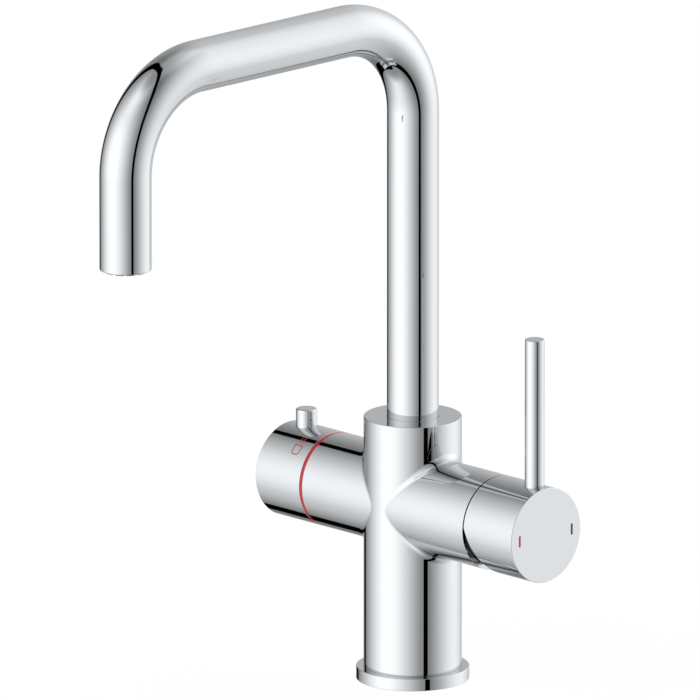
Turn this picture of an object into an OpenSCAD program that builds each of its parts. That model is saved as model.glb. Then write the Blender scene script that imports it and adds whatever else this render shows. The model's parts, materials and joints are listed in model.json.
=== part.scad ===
// Boiling water kitchen tap: a swivel spout, a single-lever mixer on one arm
// and a locked boiling-water knob on the other.
// Row frame in millimetres: +Z up the column, base on the deck at z = 0, spout towards -Y, mixer lever arm
// along +X, boiling-water knob along -X. Every sub-part is drawn in its place in that frame.

/* [Column] */
// Column diameter
body_d = 50; // [48:0.5:56]
// Height of the column's flat top above the axis of the cross arms
body_top_rise = 44.4; // [42:0.2:60]
// Diameter of the ring under the column
base_ring_d = 57.7; // [56.5:0.1:66]
// Height of the ring under the column
base_ring_h = 6.4; // [5.6:0.1:9]
// Diameter of the open space up inside the column's foot, where the inlet tails screw in
base_cavity_d = 38; // [36:0.5:40]
// Height of the ceiling of that space above the deck
base_cavity_h = 42; // [30:1:46]

/* [Cross arms] */
// Diameter of both cross arms
arm_d = 49; // [48.4:0.2:50]
// Height of the arms' axis above the deck
arm_axis_h = 93; // [92:0.5:96]
// Distance of the mixer arm's end face from the column's axis
mixer_arm_len = 61.6; // [60:0.2:68]
// Distance of the boiling-water arm's end face from the column's axis
boil_arm_len = 55.8; // [55:0.2:60]
// Radius of the fillets where the arms leave the column
arm_fillet_r = 4.5; // [3:0.5:6]

/* [Spout] */
// Outside diameter of the spout tube
spout_d = 26.4; // [26:0.1:28]
// Wall of the spout tube
spout_wall = 1.5; // [1.2:0.1:1.8]
// Height of the spout's horizontal run (its centre line) above the deck
spout_axis_h = 346.5; // [320:0.5:380]
// Distance from the column's axis to the axis of the outlet
spout_reach = 200.4; // [180:0.2:230]
// Radius of the two bends, on the centre line
spout_bend_r = 49.3; // [45:0.5:60]
// Length of the straight leg between the outer bend and the spout's open end
outlet_leg = 47.4; // [44:0.1:60]
// Outside diameter of the inner boiling-water tube
boil_tube_d = 6; // [5.6:0.1:6.4]
// Wall of the inner boiling-water tube
boil_tube_wall = 0.6; // [0.5:0.1:0.9]

/* [Mixer handle] */
// Gap between the mixer arm and the handle
handle_gap = 0.8; // [0.6:0.1:1.2]
// Length of the handle cap
handle_len = 34.6; // [34:0.2:40]
// Wall of the handle cap's skirt
handle_wall = 1.3; // [1.1:0.1:1.6]
// Angle between the cut-away lower skirt and the arm's end face
skirt_cut_deg = 21.8; // [21:0.2:24]
// Diameter of the lever rod
lever_d = 10; // [8:0.5:11]
// Height of the lever rod's top above the deck
lever_top_h = 194; // [170:1:215]
// Distance of the lever rod's axis from the handle's front face
lever_inset = 8.2; // [7.6:0.2:9]
// Width of each temperature mark
mark_w = 1.3; // [0.8:0.1:1.6]
// Length of each temperature mark
mark_len = 5.8; // [4:0.2:8]
// Distance of each temperature mark from the handle's centre
mark_offset = 18.3; // [14:0.1:19]

/* [Boiling-water knob] */
// Visible width of the coloured ring between the arm and the knob
red_ring_w = 2; // [1.6:0.1:3]
// Length of the knob
knob_len = 32; // [31:0.2:36]
// Wall of the knob
knob_wall = 2.2; // [1.8:0.1:2.6]
// Diameter of the safety button
button_d = 10.8; // [9:0.2:11]
// How far the safety button stands up above the knob
button_rise = 9; // [6:0.5:11]
// Distance of the button's axis from the knob's outer end
button_inset = 12; // [11.6:0.2:13.4]
// Travel of the safety button
button_travel = 2.5; // [1.5:0.1:2.6]

/* [Inlets] */
// Radius of the circle on which the three inlet ports lie
port_circle_r = 12; // [11.6:0.1:12.4]
// Radius of an inlet port's thread, measured at its crests
port_r = 4.45; // [4:0.05:4.5]
// Radius of a fixing stud's threaded hole
stud_hole_r = 2.5; // [2:0.1:2.6]

/* [Hidden] */
// clearances
run_gap = 0.05;        // radial, turning fits
slide_gap = 0.08;      // radial, sliding fits
seat_gap = 0.05;       // radial, parts fixed to one another
film_gap = 0.02;       // between lapped faces that rub
edge = 0.4;            // chamfer on outer edges
over = 0.1;            // how far a cut runs past the face it opens in

body_r = body_d / 2;
arm_r = arm_d / 2;
body_top_h = arm_axis_h + body_top_rise;
ring_r = base_ring_d / 2;
spigot_r = body_r - 3;
cavity_r = base_cavity_d / 2;

// mixing cartridge, measured along +X
cart_r = 17.5;                       // outside of the cartridge
cart_flange_r = 19.4;
cart_depth = 35.6;                   // of the cartridge's bore, from the arm's end face
cart_step = 20;                      // from the bore's bottom to the step under the cartridge's flange
cart_seat_x = mixer_arm_len - cart_depth;
cart_bore_r = cart_r + 0.1;
cart_step_x = cart_seat_x + cart_step;
nut_bore_r = 20.4;
nut_r = nut_bore_r - seat_gap;
cart_wall = 1.3;
cart_in_r = cart_r - cart_wall;
pivot_x = mixer_arm_len - 4.6;       // tilt axis of the lever
base_x0 = cart_seat_x + 0.8;
base_x1 = cart_seat_x + 4;
fixed_disc_x1 = base_x1 + 4;
moving_disc_x0 = fixed_disc_x1 + film_gap;
moving_disc_x1 = moving_disc_x0 + 4;
carrier_x1 = moving_disc_x1 + 7.8;
ball_r = 3;
ball_arm = 13;                       // ball centre to tilt axis
ball_x = pivot_x - ball_arm;
moving_disc_r = 11.5;
carrier_y = 8;
carrier_z = 7;
rotor_r = cart_in_r - slide_gap;
rotor_x0 = carrier_x1 + 1.5;
rotor_x1 = mixer_arm_len - 2.7;
boss_r = 13.2;
boss_x1 = mixer_arm_len + 1.9;
shank_r = 3.5;
stem_r = 4.5;
pin_r = 1.5;
mix_in_y = 7.5;                      // hot and cold ways at the cartridge
mix_in_z = arm_axis_h - 5;
mix_out_z = arm_axis_h + 8;
in_way_r = 2.75;
out_way_r = 3.2;

// dome over the cartridge, a sphere about the tilt axis
dome_r = arm_r - handle_wall - 0.4;
dome_in_r = dome_r - 1.4;
dome_open_r = 13.6;

// handle, measured along +X
handle_x0 = mixer_arm_len + handle_gap;
handle_x1 = handle_x0 + handle_len;
handle_in_r = arm_r - handle_wall;
handle_cavity_x = pivot_x + dome_r + 1;
cut_start_z = 2;                     // the skirt's cut starts this far above the axis
lever_x = handle_x1 - lever_inset;
lever_r = lever_d / 2;
lever_foot_z = arm_axis_h + 10;
stem_x1 = handle_x1 - 4.5;
grub_r = 2.5;
grub_cover_h = 2;
mark_t = 0.35;
mark_proud = 0.03;

// inlets and waterways
port_depth = 10;
stud_depth = 14;
way_r = 3;
hot_at = [port_circle_r * cos(-60), port_circle_r * sin(-60)];
cold_at = [port_circle_r * cos(60), port_circle_r * sin(60)];
boil_at = [-port_circle_r, 0];
stud_at = [-7, 12.1];

// spout socket, measured up the column
spout_r = spout_d / 2;
spout_in_r = spout_r - spout_wall;
outlet_h = spout_axis_h - spout_bend_r - outlet_leg;
socket_r = spout_r + run_gap;
socket_floor_z = arm_axis_h + 3.5;
tube_z0 = body_top_h - 6.4;
lock_groove_z = tube_z0 - 5;
ferrule_drop = 21;                   // from the lock groove to the ferrule's foot
lock_groove_h = 4;
lock_groove_r = spout_r - 1.6;
ferrule_z0 = lock_groove_z - ferrule_drop;
ferrule_spigot_h = 8;
ferrule_bore_r = 8.5;
groove_floor_r = spout_r - 2.35;
oring_r = 1.12;
oring_z = [lock_groove_z - 13.2, lock_groove_z - 8.2];
oring_groove_h = 2.6;
wear_z = [lock_groove_z - 20, lock_groove_z - 6];
wear_h = [4, 3];
wear_t = 1.2;
wear_slit = 1;
spout_grub_r = 2.1;
boil_r = boil_tube_d / 2;
boil_socket_z = arm_axis_h - 5;
boil_seal_z = arm_axis_h - 0.9;
boil_seal_r = 0.8;
spacer_t = 3;

// outlet, measured up from the spout's end
nozzle_proud = 0.7;
nozzle_r = spout_in_r - 0.15;
nozzle_notches = 12;
housing_h = 22;
housing_wall = 1.8;
former_holes = 16;

// boiling-water arm, measured along -X
valve_depth = 31.8;                  // of the valve's bore, from the arm's end face
valve_thread_at = 11;                // from the bore's bottom to the valve's thread
valve_flange_at = 22;                // from the bore's bottom to the valve's flange
valve_seat_x = boil_arm_len - valve_depth;
valve_bore_r = 11.2;
valve_thread_x = valve_seat_x + valve_thread_at;
valve_flange_x = valve_seat_x + valve_flange_at;
cup_r = 20;
valve_nose_r = 9;
valve_chamber_r = 7.5;
valve_flange_r = 14;
neck_r = 8;
neck_x1 = valve_flange_x + 14;
spindle_r = 5;
boil_out_y = 6;
boil_out_z = arm_axis_h - 6.5;
boil_way_r = 2.25;
seat_x1 = valve_seat_x + 4.5;
boil_fixed_x1 = seat_x1 + 2.5;
boil_moving_x0 = boil_fixed_x1 + film_gap;
boil_moving_x1 = boil_moving_x0 + 2.5;
boil_disc_r = valve_chamber_r - 0.1;
window_r = 1;
spindle_flange_x1 = boil_moving_x1 + 3;
spindle_end_r = 4.5;
spindle_oring_x = valve_flange_x - 3;
clip_x = neck_x1 + 0.2;
collar_x0 = valve_flange_x + 3;
collar_x1 = collar_x0 + 6;
collar_in_r = 15;
collar_out_r = 18;
knob_turn = 90;                      // from shut to fully open
rim_spare = 20;                      // the collar's rim is open this much further at both ends of the turn

// knob, measured along -X
ring_x1 = boil_arm_len + red_ring_w;
knob_x0 = ring_x1 + 0.2;
knob_x1 = knob_x0 + knob_len;
knob_in_r = arm_r - knob_wall;
knob_end_wall = 3;
hub_r = knob_in_r - seat_gap;
hub_x0 = clip_x + 0.3;
hub_x1 = knob_x1 - knob_end_wall;
button_x = knob_x1 - button_inset;
button_r = button_d / 2;
button_top_z = arm_axis_h + arm_r + button_rise;
button_flange_r = button_r + 1.4;
button_flange_z = arm_axis_h + sqrt(pow(knob_in_r, 2) - pow(button_flange_r + slide_gap, 2)) - 0.15;
button_flange_h = 2;
button_stem_r = 3;
latch_top_z = arm_axis_h + 16.4;
latch_h = 2.4;
latch_w = 4;
latch_tip_x = collar_x0 + 2.5;
latch_eye_r = 5;
spring_z0 = arm_axis_h + 6.2;
spring_z1 = latch_top_z - latch_h - 0.5;
spring_coil_r = 2.8;
spring_wire_r = 0.35;
spring_turns = 4;
knob_grub_r = 2;
knob_grub_x = hub_x0 + 9;
icon_deg = 50;                       // the cup mark lies this far above the level front of the knob
icon_x = knob_x0 + 8.9;
icon_h = 11;
cup_w = 5.7;                         // across the cup's rim
cup_foot_w = 5.2;
cup_h = 5.8;
cup_corner = 1;
steam_h = 3.9;
steam_sway = 0.45;
icon_line = 0.55;
icon_t = 0.25;

$fn = 96;

// ---------------------------------------------------------------- helpers

// solid cylinder along +X at the arms' height
module rod_x(r, x0, x1) {
    translate([x0, 0, arm_axis_h]) rotate([0, 90, 0]) cylinder(r = r, h = x1 - x0);
}

// the same along -X: distances are measured from the column's axis towards -X
module rod_nx(r, x0, x1) {
    rod_x(r, -x1, -x0);
}

// tube along +X
module tube_x(r, bore, x0, x1) {
    difference() {
        rod_x(r, x0, x1);
        rod_x(bore, x0 - over, x1 + over);
    }
}

// tube along -X
module tube_nx(r, bore, x0, x1) {
    difference() {
        rod_nx(r, x0, x1);
        rod_nx(bore, x0 - over, x1 + over);
    }
}

// upright cylinder between two heights
module post(r, z0, z1, at = [0, 0]) {
    translate([at[0], at[1], z0]) cylinder(r = r, h = z1 - z0);
}

// upright tube between two heights
module pipe(r, bore, z0, z1) {
    difference() {
        post(r, z0, z1);
        post(bore, z0 - over, z1 + over);
    }
}

// O-ring about Z
module oring_z_at(major, minor, z) {
    translate([0, 0, z]) rotate_extrude() translate([major, 0]) circle(r = minor, $fn = 32);
}

// O-ring about X, at any distance along the arms
module oring_x_at(major, minor, x) {
    translate([x, 0, arm_axis_h]) rotate([0, 90, 0])
        rotate_extrude() translate([major, 0]) circle(r = minor, $fn = 32);
}

// way drilled along X, at y and z, between two distances from the column's axis
module drill_x(r, y, z, x0, x1) {
    translate([x0, y, z]) rotate([0, 90, 0]) cylinder(r = r, h = x1 - x0);
}

// solid that follows the spout's centre line from a start height to an end height
module spout_solid(r, z_start, z_end) {
    bend_z = spout_axis_h - spout_bend_r;
    post(r, z_start, bend_z);
    translate([0, -spout_bend_r, bend_z]) rotate([90, 0, 90])
        rotate_extrude(angle = 90) translate([spout_bend_r, 0]) circle(r = r);
    translate([0, -spout_bend_r, spout_axis_h]) rotate([90, 0, 0])
        cylinder(r = r, h = spout_reach - 2 * spout_bend_r);
    translate([0, spout_bend_r - spout_reach, bend_z]) rotate([90, 0, 90]) rotate([0, 0, 90])
        rotate_extrude(angle = 90) translate([spout_bend_r, 0]) circle(r = r);
    post(r, z_end, bend_z, [0, -spout_reach]);
}

// ring of material that a ball rolled along both the column and one arm would leave; it sits a hair
// inside both, so it meets them in clean edges
module arm_fillet() {
    sink = 0.08;
    ball = arm_fillet_r;
    big_r = body_r + ball;
    small_r = arm_r + ball;
    core = 3;
    steps = 60;
    arc = 6;
    centre = [for (i = [0 : steps - 1]) let (t = 360 * (i + 0.5) / steps, y = small_r * cos(t))
        [sqrt(big_r * big_r - y * y), y, small_r * sin(t)]];
    points = [for (c = centre) let (
            to_col = [c[0], c[1], 0] / big_r,
            to_arm = [0, c[1], c[2]] / small_r,
            w = acos(min(1, to_col * to_arm)))
        for (k = [0 : arc + 1]) let (
            s = min(k, arc) / arc,
            n = (sin((1 - s) * w) * to_col + sin(s * w) * to_arm) / sin(w),
            mid = (to_col + to_arm) / norm(to_col + to_arm),
            p = k <= arc ? c - (ball + sink) * n : c - (ball + core) * mid)
        [p[0], p[1], p[2] + arm_axis_h]];
    row = arc + 2;
    faces = [for (i = [0 : steps - 1]) for (k = [0 : row - 1]) let (
            j = (i + 1) % steps, m = (k + 1) % row)
        each [[i * row + k, j * row + m, j * row + k], [i * row + k, i * row + m, j * row + m]]];
    polyhedron(points = points, faces = faces, convexity = 6);
}

// ---------------------------------------------------------------- column and base (fixed)

module tap_body() {
    color("silver") difference() {
        union() {
            translate([0, 0, base_ring_h]) rotate_extrude() polygon([
                [0, 0], [body_r, 0], [body_r, body_top_h - base_ring_h - edge],
                [body_r - edge, body_top_h - base_ring_h], [0, body_top_h - base_ring_h]]);
            post(spigot_r, 1, base_ring_h + 1);
            rod_x(arm_r, -boil_arm_len, mixer_arm_len);
            arm_fillet();
            mirror([1, 0, 0]) arm_fillet();
        }
        // space for the inlet tails, its ports and stud holes
        post(cavity_r, 0, base_cavity_h);
        for (at = [hot_at, cold_at, boil_at])
            post(port_r, base_cavity_h - over, base_cavity_h + port_depth, at);
        for (side = [-1, 1])
            post(stud_hole_r, base_cavity_h - over, base_cavity_h + stud_depth,
                [stud_at[0], side * stud_at[1]]);
        // hot and cold ways to the mixing cartridge
        for (at = [hot_at, cold_at]) {
            post(way_r, base_cavity_h + port_depth - over, mix_in_z + 1, at);
            drill_x(in_way_r, sign(at[1]) * mix_in_y, mix_in_z, at[0], cart_seat_x + over);
        }
        // mixed water back to the spout's socket
        drill_x(out_way_r, 0, mix_out_z, body_r / 3, cart_seat_x + over);
        // bore of the mixing cartridge and of its nut
        rod_x(cart_bore_r, cart_seat_x, cart_step_x + over);
        rod_x(nut_bore_r, cart_step_x, mixer_arm_len + over);
        // spout's socket, and below it the seat of the inner boiling-water tube
        post(socket_r, socket_floor_z, body_top_h + over);
        post(boil_r + run_gap, boil_socket_z, socket_floor_z + over);
        post(boil_r + 2 * boil_seal_r + 0.1, boil_seal_z - boil_seal_r - 0.2,
            boil_seal_z + boil_seal_r + 0.2);
        post(boil_r - 0.5, boil_out_z - 2, boil_socket_z + over);
        translate([0, 0, boil_out_z]) rotate([-90, 0, 0]) cylinder(r = boil_way_r - 0.25, h = boil_out_y);
        // boiling water: up to the valve, and from the valve to the inner tube
        post(way_r, base_cavity_h + port_depth - over, arm_axis_h + 1, boil_at);
        rod_nx(boil_way_r + 0.25, port_circle_r, valve_seat_x + over);
        drill_x(boil_way_r, boil_out_y, boil_out_z, -valve_seat_x - over, 1);
        // bore of the boiling-water valve, and the open cup in front of it
        rod_nx(valve_bore_r, valve_seat_x, valve_flange_x + over);
        rod_nx(cup_r, valve_flange_x, boil_arm_len + over);
        // threaded hole of the screw that keeps the spout in
        translate([0, 0, lock_groove_z]) rotate([-90, 0, 0])
            cylinder(r = spout_grub_r + seat_gap, h = body_r + over);
    }
}

module base_ring() {
    color("silver") difference() {
        rotate_extrude() polygon([
            [spigot_r + seat_gap, 0], [ring_r, 0], [ring_r, base_ring_h - edge],
            [ring_r - edge, base_ring_h], [spigot_r + seat_gap, base_ring_h]]);
        pipe(ring_r - 1.8, spigot_r + 1.5, -over, 1.6);
        pipe(spigot_r + 2.3, spigot_r - over, base_ring_h - 2, base_ring_h + over);
    }
}

module base_gasket() {
    color("dimgray") pipe(ring_r - 1.85, spigot_r + 1.55, 0, 1.6);
}

module base_seal() {
    color("black") oring_z_at(spigot_r + 1.15, 0.95, base_ring_h - 1);
}

module spout_grub_screw() {
    color("dimgray") translate([0, 0, lock_groove_z]) rotate([-90, 0, 0]) difference() {
        union() {
            translate([0, 0, spout_r - 1.2]) cylinder(r = 1.6, h = 2);
            translate([0, 0, spout_r + 0.6]) cylinder(r = spout_grub_r, h = body_r - spout_r - 3);
        }
        translate([0, 0, body_r - 5.4]) cylinder(r = 1.3, h = 4, $fn = 6);
    }
}

// ---------------------------------------------------------------- spout (turns about Z)

module spout_tube() {
    color("silver") difference() {
        spout_solid(spout_r, tube_z0, outlet_h);
        spout_solid(spout_in_r, tube_z0 - over, outlet_h - over);
    }
}

module spout_ferrule() {
    color("goldenrod") difference() {
        union() {
            post(spout_r, ferrule_z0, tube_z0);
            post(spout_in_r - seat_gap, tube_z0 - 1, tube_z0 + ferrule_spigot_h);
        }
        post(ferrule_bore_r, ferrule_z0 - over, tube_z0 + ferrule_spigot_h + over);
        for (z = oring_z) pipe(spout_r + 1, groove_floor_r, z - oring_groove_h / 2, z + oring_groove_h / 2);
        for (i = [0, 1]) pipe(spout_r + 1, spout_r - wear_t - seat_gap, wear_z[i], wear_z[i] + wear_h[i]);
        pipe(spout_r + 1, lock_groove_r, lock_groove_z - lock_groove_h / 2,
            lock_groove_z + lock_groove_h / 2);
    }
}

module spout_orings() {
    color("black") for (z = oring_z) oring_z_at(spout_r - oring_r - film_gap, oring_r, z);
}

module spout_wear_rings() {
    color("white") for (i = [0, 1]) difference() {
        pipe(spout_r, spout_r - wear_t, wear_z[i] + seat_gap, wear_z[i] + wear_h[i] - seat_gap);
        translate([0, spout_r, wear_z[i] + wear_h[i] / 2]) rotate([0, 35, 0])
            cube([wear_slit, 5 * wear_t, 3 * wear_h[0]], center = true);
    }
}

module boil_tube() {
    color("gainsboro") difference() {
        spout_solid(boil_r, boil_socket_z + 1, outlet_h + 0.4);
        spout_solid(boil_r - boil_tube_wall, boil_socket_z + 1 - over, outlet_h + 0.4 - over);
    }
}

// one spacer: a ring with three windows, that keeps the inner tube in the middle of the spout
module spacer() {
    hub = boil_r + seat_gap;
    rim = spout_in_r - seat_gap;
    difference() {
        cylinder(r = rim, h = spacer_t, center = true);
        cylinder(r = hub, h = spacer_t + 1, center = true);
        for (i = [0 : 2]) rotate([0, 0, 120 * i + 60]) translate([(hub + rim) / 2, 0, 0])
            cylinder(r = (rim - hub) / 2 - 1.2, h = spacer_t + 1, center = true);
    }
}

module tube_spacers() {
    color("whitesmoke") {
        translate([0, 0, tube_z0 + 20]) spacer();
        translate([0, -spout_reach / 2, spout_axis_h]) rotate([90, 0, 0]) spacer();
        translate([0, -spout_reach, outlet_h + housing_h + 8]) spacer();
    }
}

module boil_tube_seal() {
    color("black") oring_z_at(boil_r + run_gap + boil_seal_r, boil_seal_r, boil_seal_z);
}

module outlet_housing() {
    seal_z = outlet_h + housing_h - 4;
    color("whitesmoke") translate([0, -spout_reach, 0]) difference() {
        post(nozzle_r, outlet_h + 5, outlet_h + housing_h);
        post(nozzle_r - housing_wall, outlet_h + 5 - over, outlet_h + housing_h + over);
        pipe(nozzle_r + 1, nozzle_r - 1.1, seal_z - 0.8, seal_z + 0.8);
    }
}

module outlet_seal() {
    color("black") translate([0, -spout_reach, 0])
        oring_z_at(spout_in_r - 0.62, 0.6, outlet_h + housing_h - 4);
}

module stream_former() {
    hole_ring = (nozzle_r - housing_wall + boil_r) / 2;
    color("gainsboro") translate([0, -spout_reach, 0]) difference() {
        post(nozzle_r - housing_wall - seat_gap, outlet_h + 7, outlet_h + 10);
        post(boil_r + seat_gap, outlet_h + 6, outlet_h + 11);
        for (i = [0 : former_holes - 1]) rotate([0, 0, 360 * i / former_holes])
            post(0.7, outlet_h + 6, outlet_h + 11, [hole_ring - 1.3 + 2.6 * (i % 2), 0]);
    }
}

module nozzle_ring() {
    color("lightgray") translate([0, -spout_reach, 0]) difference() {
        union() {
            pipe(nozzle_r, nozzle_r - 2.2, outlet_h - nozzle_proud, outlet_h + 5);
            pipe(boil_r + 1.4, boil_r + seat_gap, outlet_h - 0.4, outlet_h + 4);
            for (i = [0 : 2]) rotate([0, 0, 120 * i])
                translate([boil_r + 1, -0.6, outlet_h]) cube([nozzle_r - 1.6 - boil_r - 1, 1.2, 4]);
        }
        for (i = [0 : nozzle_notches - 1]) rotate([0, 0, 360 * (i + 0.5) / nozzle_notches])
            translate([nozzle_r - 1.1, -0.8, outlet_h - nozzle_proud - over]) cube([2, 1.6, 0.8 + over]);
    }
}

// ---------------------------------------------------------------- mixing cartridge in the +X arm

module cartridge_seals() {
    color("black") for (p = [[-mix_in_y, mix_in_z, in_way_r], [mix_in_y, mix_in_z, in_way_r],
            [0, mix_out_z, out_way_r]])
        translate([cart_seat_x + 0.62, p[0], p[1]]) rotate([0, 90, 0])
            rotate_extrude() translate([p[2] + 1, 0]) circle(r = 0.6, $fn = 24);
}

module cartridge_base() {
    color("dimgray") difference() {
        rod_x(cart_in_r - seat_gap, base_x0, base_x1);
        for (side = [-1, 1]) drill_x(in_way_r, side * mix_in_y, mix_in_z, base_x0 - over, base_x1 + over);
        drill_x(out_way_r, 0, mix_out_z, base_x0 - over, base_x1 + over);
        for (p = [[-mix_in_y, mix_in_z, in_way_r], [mix_in_y, mix_in_z, in_way_r], [0, mix_out_z, out_way_r]])
            translate([base_x0 - over, p[0], p[1]]) rotate([0, 90, 0]) difference() {
                cylinder(r = p[2] + 1.7, h = 0.65);
                translate([0, 0, -over]) cylinder(r = p[2] + 0.3, h = 1);
            }
    }
}

module cartridge_housing() {
    color("slategray") {
        tube_x(cart_r, cart_in_r, base_x0, rotor_x1 + 0.1);
        tube_x(cart_flange_r, cart_r - 0.5, cart_step_x, cart_step_x + 3);
        tube_x(cart_r, boss_r + slide_gap, rotor_x1 + 0.1, rotor_x1 + 1.6);
    }
}

module mixer_fixed_disc() {
    color("white") difference() {
        rod_x(cart_in_r - seat_gap, base_x1, fixed_disc_x1);
        for (side = [-1, 1])
            drill_x(in_way_r - 0.15, side * mix_in_y, mix_in_z, base_x1 - over, fixed_disc_x1 + over);
        drill_x(out_way_r - 0.15, 0, mix_out_z, base_x1 - over, fixed_disc_x1 + over);
    }
}

module mixer_moving_disc() {
    color("ivory") difference() {
        rod_x(moving_disc_r, moving_disc_x0, moving_disc_x1);
        drill_x(4.5, 0, arm_axis_h + 2.5, moving_disc_x0 - over, moving_disc_x0 + 2);
    }
}

module disc_carrier() {
    slot = ball_r + slide_gap;
    color("dimgray") difference() {
        translate([moving_disc_x1, -carrier_y, arm_axis_h - carrier_z])
            cube([carrier_x1 - moving_disc_x1, 2 * carrier_y, 2 * carrier_z]);
        translate([ball_x - ball_r - 0.4, -slot, arm_axis_h - slot]) cube([20, 2 * slot, 2 * slot]);
    }
}

module mixer_rotor() {
    cheek = carrier_y + slide_gap;
    color("gray") difference() {
        union() {
            rod_x(rotor_r, rotor_x0, rotor_x1);
            rod_x(boss_r, rotor_x1 - 1, boss_x1);
            for (side = [0, 1]) mirror([0, side, 0])
                translate([moving_disc_x1 + 0.6, cheek, arm_axis_h - 9])
                    cube([rotor_x0 - moving_disc_x1 + 1, 4, 18]);
        }
        translate([rotor_x0 - 2, -shank_r - slide_gap, arm_axis_h - 7.5])
            cube([boss_x1 - rotor_x0 + 4, 2 * (shank_r + slide_gap), 15]);
        translate([pivot_x, 0, arm_axis_h]) rotate([90, 0, 0])
            cylinder(r = pin_r, h = 2 * arm_d, center = true);
    }
}

module pivot_pin() {
    color("gainsboro") translate([pivot_x, 0, arm_axis_h]) rotate([90, 0, 0])
        cylinder(r = pin_r, h = 2 * boss_r + 3, center = true);
}

module cartridge_nut() {
    nut_x0 = cart_step_x + 3;
    nut_x1 = mixer_arm_len - 3.1;
    color("goldenrod") difference() {
        tube_x(nut_r, cart_r + 0.1, nut_x0, nut_x1);
        for (i = [0 : 3]) translate([nut_x1 - 2, 0, arm_axis_h]) rotate([90 * i + 45, 0, 0])
            translate([0, -1.5, cart_r - 1]) cube([3, 3, 6]);
    }
}

module dome_cover() {
    face = mixer_arm_len - pivot_x;
    bore = cart_r + 1.1;
    rim_r = (dome_r + dome_in_r) / 2 - 0.7;
    color("darkgray") translate([pivot_x, 0, arm_axis_h]) rotate([0, 90, 0]) rotate_extrude() {
        difference() {
            circle(r = dome_r, $fn = 180);
            circle(r = dome_in_r, $fn = 180);
            translate([-2 * dome_r, -2 * dome_r]) square([2 * dome_r + dome_open_r, 4 * dome_r]);
            translate([0, -2 * dome_r]) square([2 * dome_r, 2 * dome_r + face]);
        }
        translate([bore, face - 2.8]) square([nut_r - bore, 3.3]);
        translate([bore, face]) square([rim_r - bore, 1]);
    }
}

// ---------------------------------------------------------------- handle (tilts in the rotor)

module lever_stem() {
    color("goldenrod") difference() {
        union() {
            translate([ball_x, 0, arm_axis_h]) sphere(r = ball_r, $fn = 48);
            rod_x(1.9, ball_x, ball_x + 5);
            rod_x(shank_r, ball_x + 4, boss_x1 + 2.6);
            rod_x(stem_r, boss_x1 + 2.5, stem_x1);
        }
        translate([pivot_x, 0, arm_axis_h]) rotate([90, 0, 0])
            cylinder(r = pin_r + slide_gap, h = 20, center = true);
    }
}

module handle_cap() {
    color("silver") difference() {
        translate([handle_x0, 0, arm_axis_h]) rotate([0, 90, 0]) rotate_extrude() polygon([
            [0, 0], [arm_r, 0], [arm_r, handle_len - edge], [arm_r - edge, handle_len], [0, handle_len]]);
        rod_x(handle_in_r, handle_x0 - over, handle_cavity_x);
        // the lower skirt is cut away, so that the handle can tip without touching the arm
        translate([handle_x0, 0, arm_axis_h + cut_start_z]) rotate([0, 90 - skirt_cut_deg, 0])
            translate([0, -arm_d, -2 * arm_d]) cube([arm_d, 2 * arm_d, 2 * arm_d]);
        rod_x(stem_r + seat_gap, handle_cavity_x - over, stem_x1);
        post(lever_r + seat_gap / 2, lever_foot_z, arm_axis_h + arm_r + 1, [lever_x, 0]);
        post(grub_r + seat_gap, arm_axis_h - arm_r - 1, arm_axis_h, [lever_x, 0]);
        for (side = [-1, 1]) translate([handle_x1 - mark_t + mark_proud, side * mark_offset - mark_w / 2,
                arm_axis_h - mark_len / 2]) cube([1, mark_w, mark_len]);
    }
}

module lever_rod() {
    color("silver") translate([lever_x, 0, lever_foot_z]) rotate_extrude() polygon([
        [0, 0], [lever_r, 0], [lever_r, lever_top_h - lever_foot_z - edge],
        [lever_r - edge, lever_top_h - lever_foot_z], [0, lever_top_h - lever_foot_z]]);
}

module handle_grub_screw() {
    top_z = arm_axis_h - stem_r - 0.02;
    foot_z = arm_axis_h - arm_r + grub_cover_h + 1.5;
    color("dimgray") difference() {
        post(grub_r, foot_z, top_z, [lever_x, 0]);
        translate([lever_x, 0, foot_z - over]) cylinder(r = 1.5, h = 3.5, $fn = 6);
    }
}

module handle_grub_cover() {
    color("silver") intersection() {
        post(grub_r, arm_axis_h - arm_r - 1, arm_axis_h - arm_r + grub_cover_h, [lever_x, 0]);
        rod_x(arm_r - 0.05, lever_x - 6, lever_x + 6);
    }
}

// temperature mark let into the handle's front face: side -1 is hot, 1 is cold
module temperature_mark(side) {
    translate([handle_x1 - mark_t + mark_proud, side * mark_offset - mark_w / 2, arm_axis_h - mark_len / 2])
        cube([mark_t, mark_w, mark_len]);
}

module hot_mark() {
    color("firebrick") temperature_mark(-1);
}

module cold_mark() {
    color("mediumblue") temperature_mark(1);
}

// ---------------------------------------------------------------- boiling-water valve in the -X arm

module boil_seat_seal() {
    color("black") tube_nx(6.9, 2.6, valve_seat_x, seat_x1);
}

module boil_fixed_disc() {
    color("white") difference() {
        rod_nx(boil_disc_r, seat_x1, boil_fixed_x1);
        drill_x(2, 0, arm_axis_h - 3.4, -boil_fixed_x1 - over, -seat_x1 + over);
        drill_x(2, 0, arm_axis_h + 3.4, -boil_fixed_x1 - over, -seat_x1 + over);
    }
}

module boil_moving_disc() {
    color("ivory") difference() {
        rod_nx(boil_disc_r, boil_moving_x0, boil_moving_x1);
        for (side = [-1, 1])
            drill_x(2.6, side * (boil_disc_r - 0.9), arm_axis_h, -boil_moving_x1 - over,
                -boil_moving_x0 + over);
    }
}

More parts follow.
